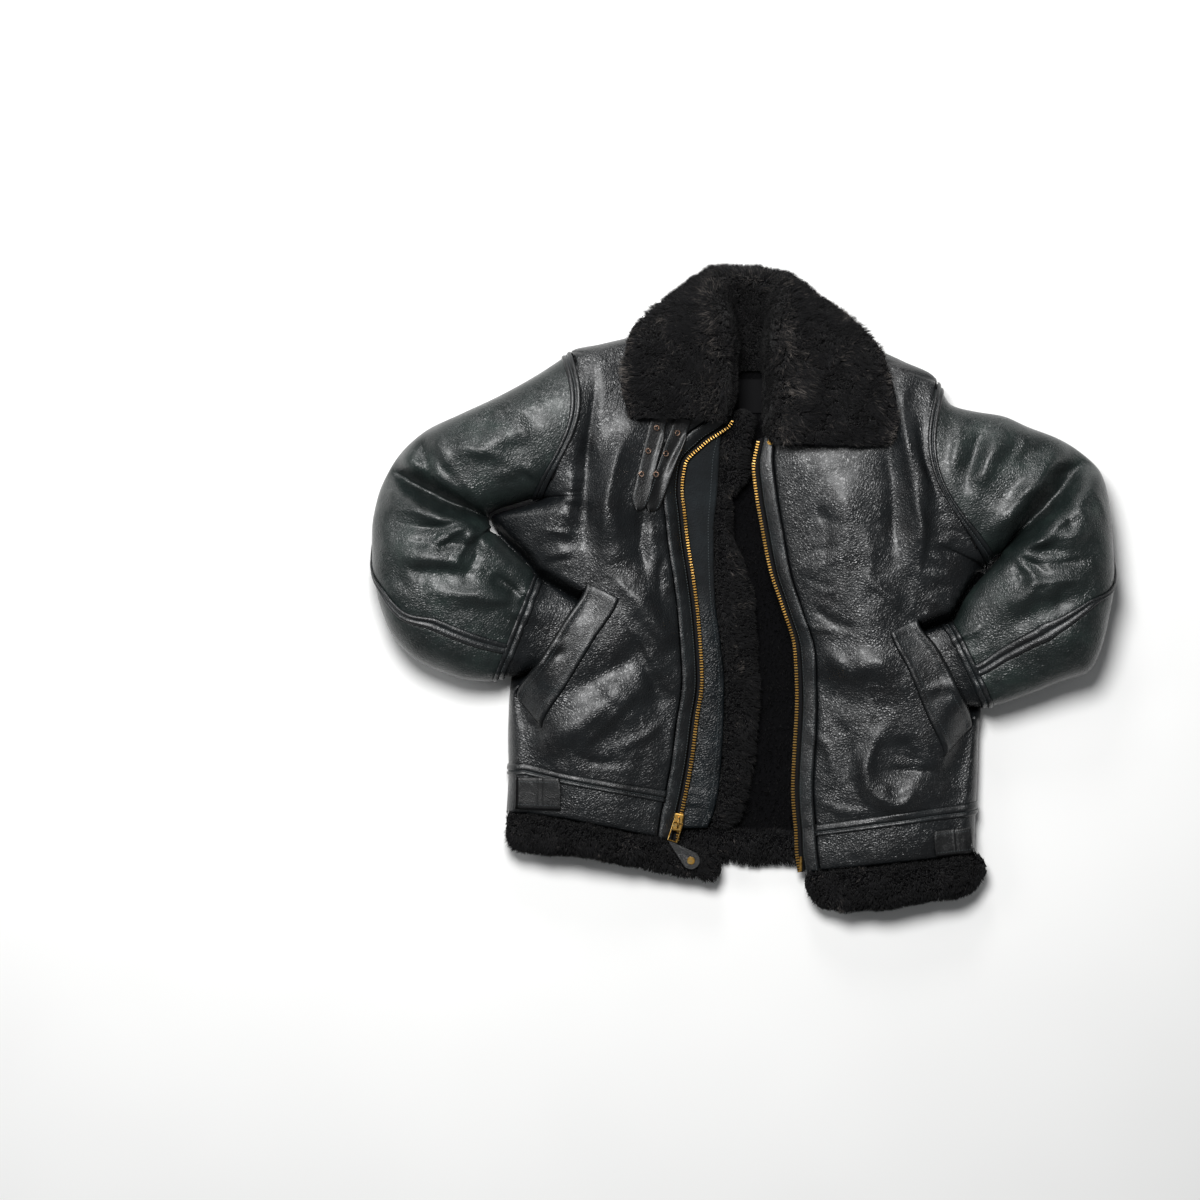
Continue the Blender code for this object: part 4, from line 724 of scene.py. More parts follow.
def front_surface(front, levels):
    """A front at any levels: columns from the side seam to the pocket mouth, then from the mouth to the zip.

    The mouth has two columns, which part where the pocket is open. The front passes flat under the forearm,
    and past its crown it falls towards the zip.
    """
    levels = np.asarray(levels, float)
    held = read(FRONT_COLUMNS, front["table"], levels)
    arm = columns(SLEEVE_COLUMNS, front["sleeve"])
    side = place_of(held, "side")
    zero = {name: values[0] for name, values in arm.items()}
    armhole = (levels >= ARMHOLE[0] - 1e-9) & (levels <= ARMHOLE[1] + 1e-9)
    for i in np.flatnonzero(armhole):
        angle = angle_at((levels[i] - ARMHOLE[0]) / (ARMHOLE[1] - ARMHOLE[0]))
        side[i] = ring(zero, np.array((angle - 2, angle, angle + 2)))[0][1]
    mouth, welt, edge = [place_of(held, name, "xy") for name in ("mouth", "welt", "zip")]
    seam = edge + unit(welt - edge) * FACING
    turn = np.radians(np.linspace(0, 90, TURN_COLUMNS))
    outboard = side[:, None, :2] + (1 - np.cos(turn))[None, :, None] * (mouth - side[:, :2])[:, None]
    outboard_z = side[:, 2:] + np.sin(turn)[None] * (held["mouth_z"][:, None] - side[:, 2:])
    beyond = arm["section"] >= 12
    above = across_line(outboard, arm["in_x"][beyond], arm["in_y"][beyond], True)
    below = across_line(outboard, arm["out_x"][beyond], arm["out_y"][beyond], False)
    clear = ease((np.maximum(above, below) - FOREARM_CLEAR) / FOREARM_RISE)
    clear = clear + (1 - clear) * ease((levels[:, None] - 0.64) / 0.06)
    pressed = np.minimum(outboard_z, PRESSED)
    outboard_z = pressed + (outboard_z - pressed) * clear
    stations = [mouth + (welt - mouth) * t for t in np.linspace(0, 1, WELT_COLUMNS)]
    stations += [welt + (seam - welt) * t for t in np.linspace(0, 1, PANEL_COLUMNS + 1)[1:]]
    stations += [seam + (edge - seam) * t for t in np.linspace(0, 1, FACING_COLUMNS)[1:]]
    inboard = np.stack(stations, axis=1)
    share = np.linalg.norm(inboard - mouth[:, None], axis=-1) / np.linalg.norm(edge - mouth, axis=-1)[:, None]
    share = np.clip(share, 0, 1)
    rise = held["mouth_z"][:, None] + (held["crown"] - held["mouth_z"])[:, None] * ease(share / CROWN_SHARE)
    past = np.clip((share - CROWN_SHARE) / (1 - CROWN_SHARE), 0, 1)
    fall = (held["crown"] - held["zip_z"])[:, None] * past**1.9
    inboard_z = rise - fall
    open_rows = (levels > SLIT[0] + 0.001) & (levels < SLIT[1] - 0.001)
    outboard_z[~open_rows, -1] = inboard_z[~open_rows, 0]
    points = np.concatenate((np.dstack((outboard, outboard_z)), np.dstack((inboard, inboard_z))), axis=1)
    fade = np.concatenate((ease((1 - np.cos(turn)) * 1.5), np.ones(inboard.shape[1])))
    fade[SEAM_COLUMN:] = np.linspace(1, 0.3, FACING_COLUMNS)
    points[..., 2] += fold_height(points, front["folds"]) * fade[None]
    swells = 1.1 * ripple(points, 60, front["seed"]) + 0.2 * ripple(points, 19, front["seed"] + 50)
    points[..., 2] += swells * fade[None]
    halves = (points[:, :TURN_COLUMNS], points[:, TURN_COLUMNS:])
    normals = np.concatenate([grid_normals(half) for half in halves], axis=1) * front["zip_side"]
    joined = unit(normals[:, TURN_COLUMNS - 1] + normals[:, TURN_COLUMNS])
    normals[~open_rows, TURN_COLUMNS - 1] = joined[~open_rows]
    normals[~open_rows, TURN_COLUMNS] = joined[~open_rows]
    return points, normals


def linear(code):
    """A colour from its sRGB hex value."""
    found = []
    for at in (1, 3, 5):
        value = int(code[at:at + 2], 16) / 255
        found.append(value / 12.92 if value <= 0.04045 else ((value + 0.055) / 1.055) ** 2.4)
    return (*found, 1.0)


def settle(tree, node, settings, links):
    """Gives a node its settings and links its inputs to what they read."""
    for key, value in settings.items():
        if isinstance(key, str) and hasattr(node, key):
            setattr(node, key, value)
        else:
            node.inputs[key].default_value = value
    for key, source in links.items():
        tree.links.new(source, node.inputs[key])
    return node


def add(tree, kind, settings=None, links=None, stops=()):
    """Adds a node to a material. stops are a colour ramp's places and colours."""
    node = settle(tree, tree.nodes.new(kind), settings or {}, links or {})
    if stops:
        held = node.color_ramp.elements
        held[0].position, held[0].color = stops[0][0], linear(stops[0][1])
        held[1].position, held[1].color = stops[-1][0], linear(stops[-1][1])
        for at, code in stops[1:-1]:
            held.new(at).color = linear(code)
    return node


def blank(name):
    """A new material with its node tree, its shader and the place on the object."""
    material = bpy.data.materials.new(name)
    material.use_nodes = True
    tree = material.node_tree
    shader = tree.nodes["Principled BSDF"]
    place = add(tree, "ShaderNodeTexCoord").outputs["Object"]
    return material, tree, shader, place


def leather(name, dark, middle, light, rough, grain=3.3, relief=0.0006, matt_above=None):
    """Sheepskin leather, drum dyed and finished: fine pebbles, soft dents, and a sheen uneven with wear."""
    material, tree, shader, place = blank(name)
    # Cloudy dye, in patches some 45 mm wide with smaller ones in them.
    cloud = add(tree, "ShaderNodeTexNoise", {"Scale": 22.0, "Detail": 5.0, "Roughness": 0.62},
                {"Vector": place})
    base = add(tree, "ShaderNodeValToRGB", links={0: cloud.outputs[0]},
               stops=[(0.32, dark), (0.52, middle), (0.72, light)])
    # Creases of the skin, about 7 mm apart, and pebbles a little coarser than real so that they show.
    bent = add(tree, "ShaderNodeTexNoise", {"Scale": 60.0, "Detail": 2.0}, {"Vector": place})
    moved = add(tree, "ShaderNodeMix", {"data_type": "VECTOR", 0: 0.012}, {4: place, 5: bent.outputs[1]})
    cracks = add(tree, "ShaderNodeTexVoronoi", {"feature": "DISTANCE_TO_EDGE", "Scale": 140.0},
                 {"Vector": moved.outputs[1]})
    pebbles = add(tree, "ShaderNodeTexVoronoi", {"feature": "DISTANCE_TO_EDGE", "Scale": 1000.0 / grain},
                  {"Vector": moved.outputs[1]})
    dents = add(tree, "ShaderNodeTexNoise", {"Scale": 75.0, "Detail": 4.0, "Roughness": 0.55},
                {"Vector": place})
    crack_depth = add(tree, "ShaderNodeMapRange", {1: 0.0, 2: 0.09, 3: 0.0, 4: 1.0}, {0: cracks.outputs[0]})
    pebble_depth = add(tree, "ShaderNodeMapRange", {1: 0.0, 2: 0.42, 3: 0.0, 4: 1.0}, {0: pebbles.outputs[0]})
    bump = add(tree, "ShaderNodeBump", {"Strength": 0.35, "Distance": 0.0012}, {"Height": dents.outputs[0]})
    bump = add(tree, "ShaderNodeBump", {"Strength": 0.3, "Distance": 0.0003},
               {"Height": crack_depth.outputs[0], "Normal": bump.outputs[0]})
    bump = add(tree, "ShaderNodeBump", {"Strength": 0.75, "Distance": relief},
               {"Height": pebble_depth.outputs[0], "Normal": bump.outputs[0]})
    # The finish is rubbed matt in places.
    rubbed = add(tree, "ShaderNodeTexNoise", {"Scale": 34.0, "Detail": 6.0, "Roughness": 0.7},
                 {"Vector": place})
    matt = add(tree, "ShaderNodeMapRange", {1: 0.3, 2: 0.72, 3: rough - 0.07, 4: rough + 0.13},
               {0: rubbed.outputs[0]})
    sheen = matt.outputs[0]
    surface = {"Specular IOR Level": 0.5, "Coat Weight": 0.25, "Coat Roughness": 0.3}
    if matt_above is not None:
        # Past this line the flap shows its napped side, and the line wanders.
        split = add(tree, "ShaderNodeSeparateXYZ", links={0: place})
        wander = add(tree, "ShaderNodeMath", {"operation": "MULTIPLY_ADD", 1: 0.05},
                     {0: cloud.outputs[0], 2: split.outputs[1]})
        line = matt_above * MM
        napped = add(tree, "ShaderNodeMapRange", {1: line + 0.01, 2: line + 0.045, 3: 0.0, 4: 1.0},
                     {0: wander.outputs[0]})
        mixed = add(tree, "ShaderNodeMix", {"data_type": "FLOAT", 3: 0.85}, {0: napped.outputs[0], 2: sheen})
        sheen = mixed.outputs[0]
        surface = {"Specular IOR Level": 0.32}
    settle(tree, shader, surface,
           {"Base Color": base.outputs[0], "Normal": bump.outputs[0], "Roughness": sheen})
    return material


def fleece(name, root, body, tip, bloom):
    """Clipped wool dyed black: matt, with browner tips where it is rubbed. It reads each lock's own shade,
    which on the collar also carries painted highlight and painted shade.
    """
    material, tree, shader, _place = blank(name)
    shade = add(tree, "ShaderNodeAttribute", {"attribute_name": "shade"})
    base = add(tree, "ShaderNodeValToRGB", links={0: shade.outputs["Fac"]},
               stops=[(0.0, root), (0.45, body), (1.0, tip)])
    settle(tree, shader,
           {"Roughness": 0.8, "Specular IOR Level": 0.18, "Sheen Weight": bloom, "Sheen Roughness": 0.5},
           {"Base Color": base.outputs[0]})
    return material


def felted(name, dark, light):
    """The dense ground of the fleece between its locks: matt and almost black, in curls some 3 mm wide."""
    material, tree, shader, place = blank(name)
    curls = add(tree, "ShaderNodeTexNoise", {"Scale": 300.0, "Detail": 4.0, "Distortion": 1.2},
                {"Vector": place})
    base = add(tree, "ShaderNodeValToRGB", links={0: curls.outputs[0]}, stops=[(0.35, dark), (0.7, light)])
    bump = add(tree, "ShaderNodeBump", {"Strength": 0.9, "Distance": 0.0012}, {"Height": curls.outputs[0]})
    settle(tree, shader, {"Roughness": 0.95, "Specular IOR Level": 0.1, "Sheen Weight": 0.03},
           {"Base Color": base.outputs[0], "Normal": bump.outputs[0]})
    return material


def aged_metal(name, dark, middle, bright, rough):
    """Brass or copper with tarnish and bright rubbed places in patches."""
    material, tree, shader, place = blank(name)
    tarnish = add(tree, "ShaderNodeTexNoise", {"Scale": 240.0, "Detail": 5.0, "Roughness": 0.65},
                  {"Vector": place})
    base = add(tree, "ShaderNodeValToRGB", links={0: tarnish.outputs[0]},
               stops=[(0.3, dark), (0.5, middle), (0.68, bright)])
    matt = add(tree, "ShaderNodeMapRange", {1: 0.3, 2: 0.7, 3: rough + 0.15, 4: rough - 0.08},
               {0: tarnish.outputs[0]})
    scratches = add(tree, "ShaderNodeTexNoise", {"Scale": 900.0, "Detail": 2.0}, {"Vector": place})
    bump = add(tree, "ShaderNodeBump", {"Strength": 0.2, "Distance": 0.0002},
               {"Height": scratches.outputs[0]})
    settle(tree, shader, {"Metallic": 1.0},
           {"Base Color": base.outputs[0], "Normal": bump.outputs[0], "Roughness": matt.outputs[0]})
    return material


def woven(name, dark, light, pitch):
    """Cotton or satin weave, its threads drawn a little coarser than real so that they show."""
    material, tree, shader, place = blank(name)
    split = add(tree, "ShaderNodeSeparateXYZ", links={0: place})
    waves = []
    for axis in (0, 1):
        turn = add(tree, "ShaderNodeMath", {"operation": "MULTIPLY", 1: math.tau / (pitch * MM)},
                   {0: split.outputs[axis]})
        waves.append(add(tree, "ShaderNodeMath", {"operation": "SINE"}, {0: turn.outputs[0]}))
    both = add(tree, "ShaderNodeMath", {"operation": "MULTIPLY"},
               {0: waves[0].outputs[0], 1: waves[1].outputs[0]})
    level = add(tree, "ShaderNodeMapRange", {1: -1.0, 2: 1.0, 3: 0.0, 4: 1.0}, {0: both.outputs[0]})
    base = add(tree, "ShaderNodeValToRGB", links={0: level.outputs[0]}, stops=[(0.0, dark), (1.0, light)])
    bump = add(tree, "ShaderNodeBump", {"Strength": 0.6, "Distance": 0.0003}, {"Height": level.outputs[0]})
    settle(tree, shader, {"Roughness": 0.8, "Specular IOR Level": 0.1, "Sheen Weight": 0.05},
           {"Base Color": base.outputs[0], "Normal": bump.outputs[0]})
    return material


def dress(name, material):
    """Gives a node of the frame a better finish in each of its slots."""
    for slot in bpy.data.objects[name].material_slots:
        slot.material = material


def seat(name, mesh, materials, stands_for=()):
    """Makes a piece of a mesh, rides it on the jacket and hides the solids it stands for."""
    obj = bpy.data.objects.new(name, mesh)
    bpy.context.scene.collection.objects.link(obj)
    for material in materials:
        mesh.materials.append(material)
    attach(obj, "jacket")
    if stands_for:
        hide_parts(*stands_for)
    return obj


def laid_flat(points, skipped=None):
    """The width, the length and the area of a sheet's cut, in metres, from the grid's own lengths."""
    across = np.linalg.norm(np.diff(points, axis=1), axis=2)
    along = np.linalg.norm(np.diff(points, axis=0), axis=2)
    diagonals = np.cross(points[1:, 1:] - points[:-1, :-1], points[1:, :-1] - points[:-1, 1:])
    cells = 0.5 * np.linalg.norm(diagonals, axis=2)
    if skipped is not None:
        across[:, skipped] = 0
        cells[:, skipped] = 0
    width, length = across.sum(axis=1).max() * MM, along.sum(axis=0).max() * MM
    area = float(np.clip(cells.sum() * MM * MM, 0.31 * width * length, 0.999 * width * length))
    return (float(width), float(length)), area


def cloth(name, points, normals, materials, stands_for=(), thick=LEATHER_THICK,
          skipped=None):
    """A sheet on a grid, with its thickness under its right side. One column of cells can be skipped."""
    rows, count = points.shape[:2]
    bm = bmesh.new()
    bmesh.ops.create_grid(bm, x_segments=count - 1, y_segments=rows - 1, size=1)
    bm.verts.ensure_lookup_table()
    bm.verts.index_update()
    for vert, place in zip(bm.verts, points.reshape(-1, 3) * MM):
        vert.co = place
    bm.normal_update()
    rights = normals.reshape(-1, 3)
    facing = sum(face.normal.dot(Vector(rights[face.verts[0].index])) for face in bm.faces)
    if skipped is not None:
        gone = [face for face in bm.faces if min(vert.index for vert in face.verts) % count == skipped]
        bmesh.ops.delete(bm, geom=gone, context="FACES")
    bmesh.ops.remove_doubles(bm, verts=bm.verts, dist=2e-6)
    if facing < 0:
        bmesh.ops.reverse_faces(bm, faces=bm.faces)
    mesh = bpy.data.meshes.new(name)
    bm.to_mesh(mesh)
    bm.free()
    mesh.shade_smooth()
    obj = seat(name, mesh, materials, stands_for)
    wall = obj.modifiers.new("Thickness", "SOLIDIFY")
    wall.thickness = thick * MM
    wall.offset = -1.0
    wall.material_offset = len(materials) - 1
    flat, area = laid_flat(points, skipped)
    return obj


def scatter(name, shape, centres, ways, lifts, material, stands_for=()):
    """One mesh of many copies of a small shape, each turned along its way and up its lift."""
    corners, faces = shape
    ways = unit(ways)
    sides = unit(np.cross(lifts, ways))
    lifts = np.cross(ways, sides)
    frames = np.stack((ways, sides, lifts), axis=1)
    points = centres[:, None] + np.einsum("vk,nkd->nvd", corners, frames)
    offsets = np.arange(len(centres))[:, None, None] * len(corners)
    mesh = bpy.data.meshes.new(name)
    mesh.from_pydata((points * MM).reshape(-1, 3), [], (faces[None] + offsets).reshape(-1, faces.shape[1]))
    mesh.update()
    return seat(name, mesh, [material], stands_for)


def small_shape(make, size, **settings):
    """The corners and triangles of a small shape made by an operator and stretched to a size."""
    bm = bmesh.new()
    make(bm, **settings)
    bmesh.ops.scale(bm, verts=bm.verts, vec=size)
    bmesh.ops.triangulate(bm, faces=bm.faces)
    bm.verts.index_update()
    corners = np.array([vert.co for vert in bm.verts])
    faces = np.array([[vert.index for vert in face.verts] for face in bm.faces])
    bm.free()
    return corners, faces


def tooth_block(bm, bevel):
    """A zip tooth: a block with its edges broken."""
    bmesh.ops.create_cube(bm, size=1)
    bmesh.ops.bevel(bm, geom=bm.edges[:], offset=bevel, segments=1, profile=0.5, affect="EDGES", material=-1)


def spaced(line, normals, pitch):
    """Places, ways and normals at an even pitch along a line."""
    line, normals = np.asarray(line, float), np.asarray(normals, float)
    runs = distances(line)
    at = np.arange(0.5 * pitch, runs[-1], pitch)
    ways = points_at(line, runs, at + 0.5) - points_at(line, runs, at - 0.5)
    return points_at(line, runs, at), ways, unit(points_at(normals, runs, at))


seams_to_sew = []


def sew(line, normals, lift=0.0):
    """Notes a line of stitches, which are made together at the end."""
    seams_to_sew.append((np.asarray(line) + np.asarray(normals) * lift, normals))


def locks(name, points, normals, count, reach, look, seed, comb=(0, 0, 0), lean=0.45, clump=9.0, width=1.5,
          keep=None, cap=None, wear_and_painted_light=0.0):
    """Clipped wool over a grid: a bent lock of three faces at each root, leaning with others in clumps.

    comb is the way the locks lie and lean how far they lie over. keep picks the roots that stay. cap is a
    height that no lock passes. The last argument pales the tips with real rubbing and painted highlight,
    and darkens them with painted shade.
    """
    rng = np.random.default_rng(seed)
    a, b, c, d = points[:-1, :-1], points[:-1, 1:], points[1:, 1:], points[1:, :-1]
    area = np.linalg.norm(np.cross(c - a, d - b), axis=2).ravel()
    chosen = rng.choice(len(area), size=count, p=area / area.sum())
    u, v = rng.random((2, count, 1))

    def at(values):
        parts = (values[:-1, :-1], values[:-1, 1:], values[1:, 1:], values[1:, :-1])
        a, b, c, d = [part.reshape(len(area), -1)[chosen] for part in parts]
        return (a * (1 - u) + b * u) * (1 - v) + (d * (1 - u) + c * u) * v

    roots, ups = at(points), unit(at(normals))
    reaches = at(np.broadcast_to(np.asarray(reach, float), points.shape[:2])[..., None])
    lengths = reaches * rng.uniform(0.75, 1.1, (count, 1))
    flow = np.asarray(comb, float)
    flow = at(flow) if flow.ndim == 3 else np.broadcast_to(flow, roots.shape)
    # What the caller gives at each root: paleness from real rubbing and painted highlight, darkness from
    # painted shade.
    rubbed = at(np.broadcast_to(np.asarray(wear_and_painted_light, float), points.shape[:2])[..., None])[:, 0]
    if keep is not None:
        kept = keep(roots)
        roots, ups, lengths, flow, rubbed = roots[kept], ups[kept], lengths[kept], flow[kept], rubbed[kept]
    count = len(roots)
    centres = roots[rng.choice(count, max(1, int(area.sum() / 2 / clump**2)))]
    tree = kdtree.KDTree(len(centres))
    for index, centre in enumerate(centres):
        tree.insert(Vector(centre), index)
    tree.balance()
    nearest = centres[[tree.find(Vector(root))[1] for root in roots]]
    swirl = np.stack([ripple(roots, 34, seed + axis) for axis in (1, 2, 3)], axis=1)
    pull = (nearest - roots) / clump
    way = flow + 0.55 * swirl + 0.5 * pull + rng.normal(scale=0.3, size=(count, 3))
    way -= ups * np.sum(way * ups, axis=1, keepdims=True)
    middle = roots + (ups + way * lean * 0.6) * lengths * 0.55
    tips = roots + (ups + way * lean * 1.7) * lengths
    if cap is not None:
        tips[:, 2] = np.minimum(tips[:, 2], cap)
        middle[:, 2] = np.minimum(middle[:, 2], cap)
    side = unit(np.cross(ups, rng.normal(size=(count, 3)))) * width * rng.uniform(0.35, 0.65, (count, 1))
    blades = np.stack((roots - side, roots + side, middle + side * 0.75, middle - side * 0.75, tips), axis=1)
    blades[..., 2] = np.maximum(blades[..., 2], LOCK_FLOOR)
    faces = np.array([(0, 1, 2), (0, 2, 3), (3, 2, 4)])[None] + np.arange(count)[:, None, None] * 5
    mesh = bpy.data.meshes.new(name)
    mesh.from_pydata((blades * MM).reshape(-1, 3), [], faces.reshape(-1, 3))
    streak = np.clip(0.5 + 0.35 * ripple(roots, 34, seed + 9) + 0.3 * ripple(roots, 9, seed + 19), 0, 1.2)
    # How pale each lock's tip is: random streaks and noise, with what the caller gives, painted light
    # included.
    tip_paleness = np.clip(0.08 + rubbed + 0.34 * streak**2 + rng.normal(scale=0.12, size=count), 0, 1)
    shade = tip_paleness[:, None] * np.array(LOCK_SHADES)
    mesh.attributes.new("shade", "FLOAT", "POINT").data.foreach_set("value", np.clip(shade, 0, 1).ravel())
    mesh.update()
    return seat(name, mesh, [look])


def beads(share):
    """The height of a folded tape across its width: a bead along each edge and a stitched groove between."""
    off = np.abs(np.asarray(share) * 2 - 1)
    bead = np.sqrt(np.clip(1 - ((off - 0.56) / 0.44) ** 2, 0, 1))
    return TAPE_LIFT + BEAD_FOOT + BEAD_HEIGHT * bead


def front_levels():
    """The levels of a front's rows: they meet the slit's ends, the waist and every point of the armhole."""
    return np.concatenate((np.linspace(-1.0, 0.0, 21)[:-1], np.linspace(0.0, 0.7, 121)[:-1],
                           0.7 + 0.3 * SHARES, np.linspace(1.0, 1.2, 17)[1:]))


def make_front(side, front):
    levels = front_levels()
    points, normals = front_surface(front, levels)
    body = levels >= -1e-9
    band = levels <= 1e-9
    rolled = sewn_down(points[body, :SEAM_COLUMN + 1], normals[body, :SEAM_COLUMN + 1])
    cloth(f"front_leather_{side}", rolled, normals[body, :SEAM_COLUMN + 1], [body_leather, lining],
          [f"front_{side}"], skipped=TURN_COLUMNS - 1)
    kept = [j for j in range(SEAM_COLUMN + 1) if j != TURN_COLUMNS]
    rolled = sewn_down(points[band][:, kept], normals[band][:, kept])
    cloth(f"waistband_leather_{side}", rolled, normals[band][:, kept], [body_leather, lining],
          [f"waistband_{side}"])
    facing_rows = levels <= 1.0 + 1e-9
    facing, up = points[facing_rows, SEAM_COLUMN:], normals[facing_rows, SEAM_COLUMN:]
    across = np.linspace(0, 1, facing.shape[1])
    raised = facing + up * (1.7 * (1 - np.abs(across * 2 - 1) ** 2.4))[None, :, None]
    cloth(f"zip_facing_leather_{side}", raised, up, [tape_leather], [f"zip_facing_{side}"],
          thick=FACING_PLY)
    for at in (1, FACING_COLUMNS - 2):
        sew(raised[:, at], up[:, at], 0.15)
    tape_levels = np.linspace(-0.125, 0.02, 25)
    tape, tape_up = front_surface(front, tape_levels)
    tape, tape_up = tape[:, kept], tape_up[:, kept]
    share = np.linspace(0, 1, len(tape_levels))
    height = beads(share)[:, None, None]
    cloth(f"waist_tape_leather_{side}", tape + tape_up * height, tape_up, [tape_leather],
          [f"waist_tape_{side}"], thick=TAPE_PLY)
    middle = len(tape_levels) // 2
    sew(tape[middle], tape_up[middle], TAPE_STITCH_LIFT)
    make_welt(side, front)
    make_zip(side, facing[:, -2], facing[:, -1])
    return points


def make_welt(side, front):
    """The pocket's welt: a leather strip folded over its mouth, stitched twice, with a rim along it."""
    rows = 70
    levels = np.linspace(SLIT[0], SLIT[1], rows)
    points, normals = front_surface(front, levels)
    strip = slice(TURN_COLUMNS, WELT_END + 1)
    points, normals = points[:, strip], normals[:, strip]
    across = np.linspace(0, 1, points.shape[1])
    rim = 2.4 * np.exp(-(((across - 0.10) / 0.09) ** 2)) + 1.5 * np.exp(-(((across - 0.92) / 0.06) ** 2))
    ends = np.clip(np.minimum(np.arange(rows), np.arange(rows)[::-1]) / 3.0, 0, 1) ** 0.5
    edge = np.clip(np.minimum(across, 1 - across) / 0.05, 0, 1) ** 0.5
    height = TAPE_LIFT + (1.9 + rim)[None] * ends[:, None] * edge[None]
    raised = points + normals * height[..., None]
    cloth(f"pocket_welt_leather_{side}", raised, normals, [tape_leather],
          [f"pocket_welt_{side}"], thick=WELT_PLY)
    for at in (3, 12):
        sew(raised[2:-2, at], normals[2:-2, at], 0.15)


def make_zip(side, inner, edge):
    """Half of the zip: a woven tape sewn under the facing, and its brass teeth along the free edge."""
    outward = unit((edge - inner) * (1, 1, 0))
    start = edge + outward * SEAM / 2 - np.array((0, 0, ZIP_DROP))
    tucked = np.array((0, 0, 2.4))
    shares = np.linspace(-0.4, 1, 8)
    tape = np.stack([start + outward * ZIP_TAPE * share - tucked * (share < 0) for share in shares], axis=1)
    up = np.zeros_like(tape) + (0, 0, 1)
    cloth(f"zip_cloth_{side}", tape - up * 1.0, up, [zip_weave], [f"zip_tape_{side}"], thick=ZIP_PLY)
    line = start + outward * (ZIP_TAPE - 2.6)
    places, ways, lifts = spaced(line, up[:, 0], TOOTH_PITCH)
    block = small_shape(tooth_block, TOOTH_SIZE, bevel=0.16)
    scatter(f"zip_teeth_{side}", block, places, ways, lifts, brass)


def make_back(right, left):
    """The back lies flat on the floor, turned up at its edges to meet the fronts. Its wool shows between."""
    levels = front_levels()
    levels = np.unique(np.concatenate((levels[::2], [0.0, 1.0, 1.2])))
    right_edge = front_surface(right, levels)[0][:, 0]
    left_edge = front_surface(left, levels)[0][:, 0]
    armhole = (levels >= ARMHOLE[0] - 1e-9) & (levels <= ARMHOLE[1] + 1e-9)
    share = np.zeros(len(levels))
    share[armhole] = (levels[armhole] - ARMHOLE[0]) / (ARMHOLE[1] - ARMHOLE[0])
    lift = np.sin(np.radians(angle_at(share))) ** (2 / ROUND)
    edge_z = []
    for edge in (right_edge, left_edge):
        z = edge[:, 2].copy()
        middle = z[armhole][0] + (z[armhole][-1] - z[armhole][0]) * share[armhole]
        z[armhole] = np.maximum(0, middle - (middle + FLOOR_FLAT) * lift[armhole])
        edge_z.append(z)
    width = np.linalg.norm((left_edge - right_edge)[:, :2], axis=1)[:, None]
    turn = np.stack([np.clip(z * 1.3, 8, 30) for z in edge_z])
    steps = np.linspace(0, 1, 10) ** 1.6
    inner = np.linspace(0.12, 0.88, 61)[None].repeat(len(levels), 0)
    shares = (steps * turn[0][:, None] / width, inner, 1 - steps[::-1] * turn[1][:, None] / width)
    shares = np.concatenate(shares, axis=1)
    plan = right_edge[:, None, :2] + shares[..., None] * (left_edge - right_edge)[:, None, :2]
    dip = np.interp(levels, *zip(*NECK_DIP))
    plan[..., 1] -= dip[:, None] * np.exp(-(((plan[..., 0] - 8) / NECK_WIDTH) ** 2))
    on_right = shares < 0.5
    near = np.where(on_right, shares, 1 - shares) * width
    t = np.clip(1 - near / np.where(on_right, turn[0][:, None], turn[1][:, None]), 0, 1)
    z = np.where(on_right, edge_z[0][:, None], edge_z[1][:, None]) * (1 - np.sqrt(1 - t**2))
    points = np.dstack((plan, z))
    normals = -grid_normals(points)
    for name, node, rows in (("back_leather", "back_panel", levels >= -1e-9),
                             ("waistband_leather_back", "waistband_back", levels <= 1e-9)):
        cloth(name, points[rows], normals[rows], [body_leather, lining], [node])
    flat = slice(12, -12)
    inside = points[:, flat] + (0, 0, BACK_WALL - 2.4)
    upright = np.zeros_like(inside) + (0, 0, 1)
    base = inside + upright * (0.5 * ripple(inside, 30, 61))[..., None]
    cloth("back_fleece", base, upright, [wool_ground], thick=BACK_FLEECE)

    def showing(roots):
        x, y = roots[:, 0], roots[:, 1]
        beside = np.abs(x - LABEL_MIDDLE[0]) > LABEL_CLEAR[0]
        beyond = np.abs(y - LABEL_MIDDLE[1]) > LABEL_CLEAR[1]
        return (x > BACK_SHOWS[0]) & (x < BACK_SHOWS[1]) & (beside | beyond)

    # Its locks take the darker inside wool: painted shade.
    locks("back_pile", base, upright, 28000, 3.6, inside_wool_painted_shade, 62, comb=(0, -0.6, 0), lean=0.5, clump=7.0,
          width=1.8, keep=showing, cap=8.6)
    return points


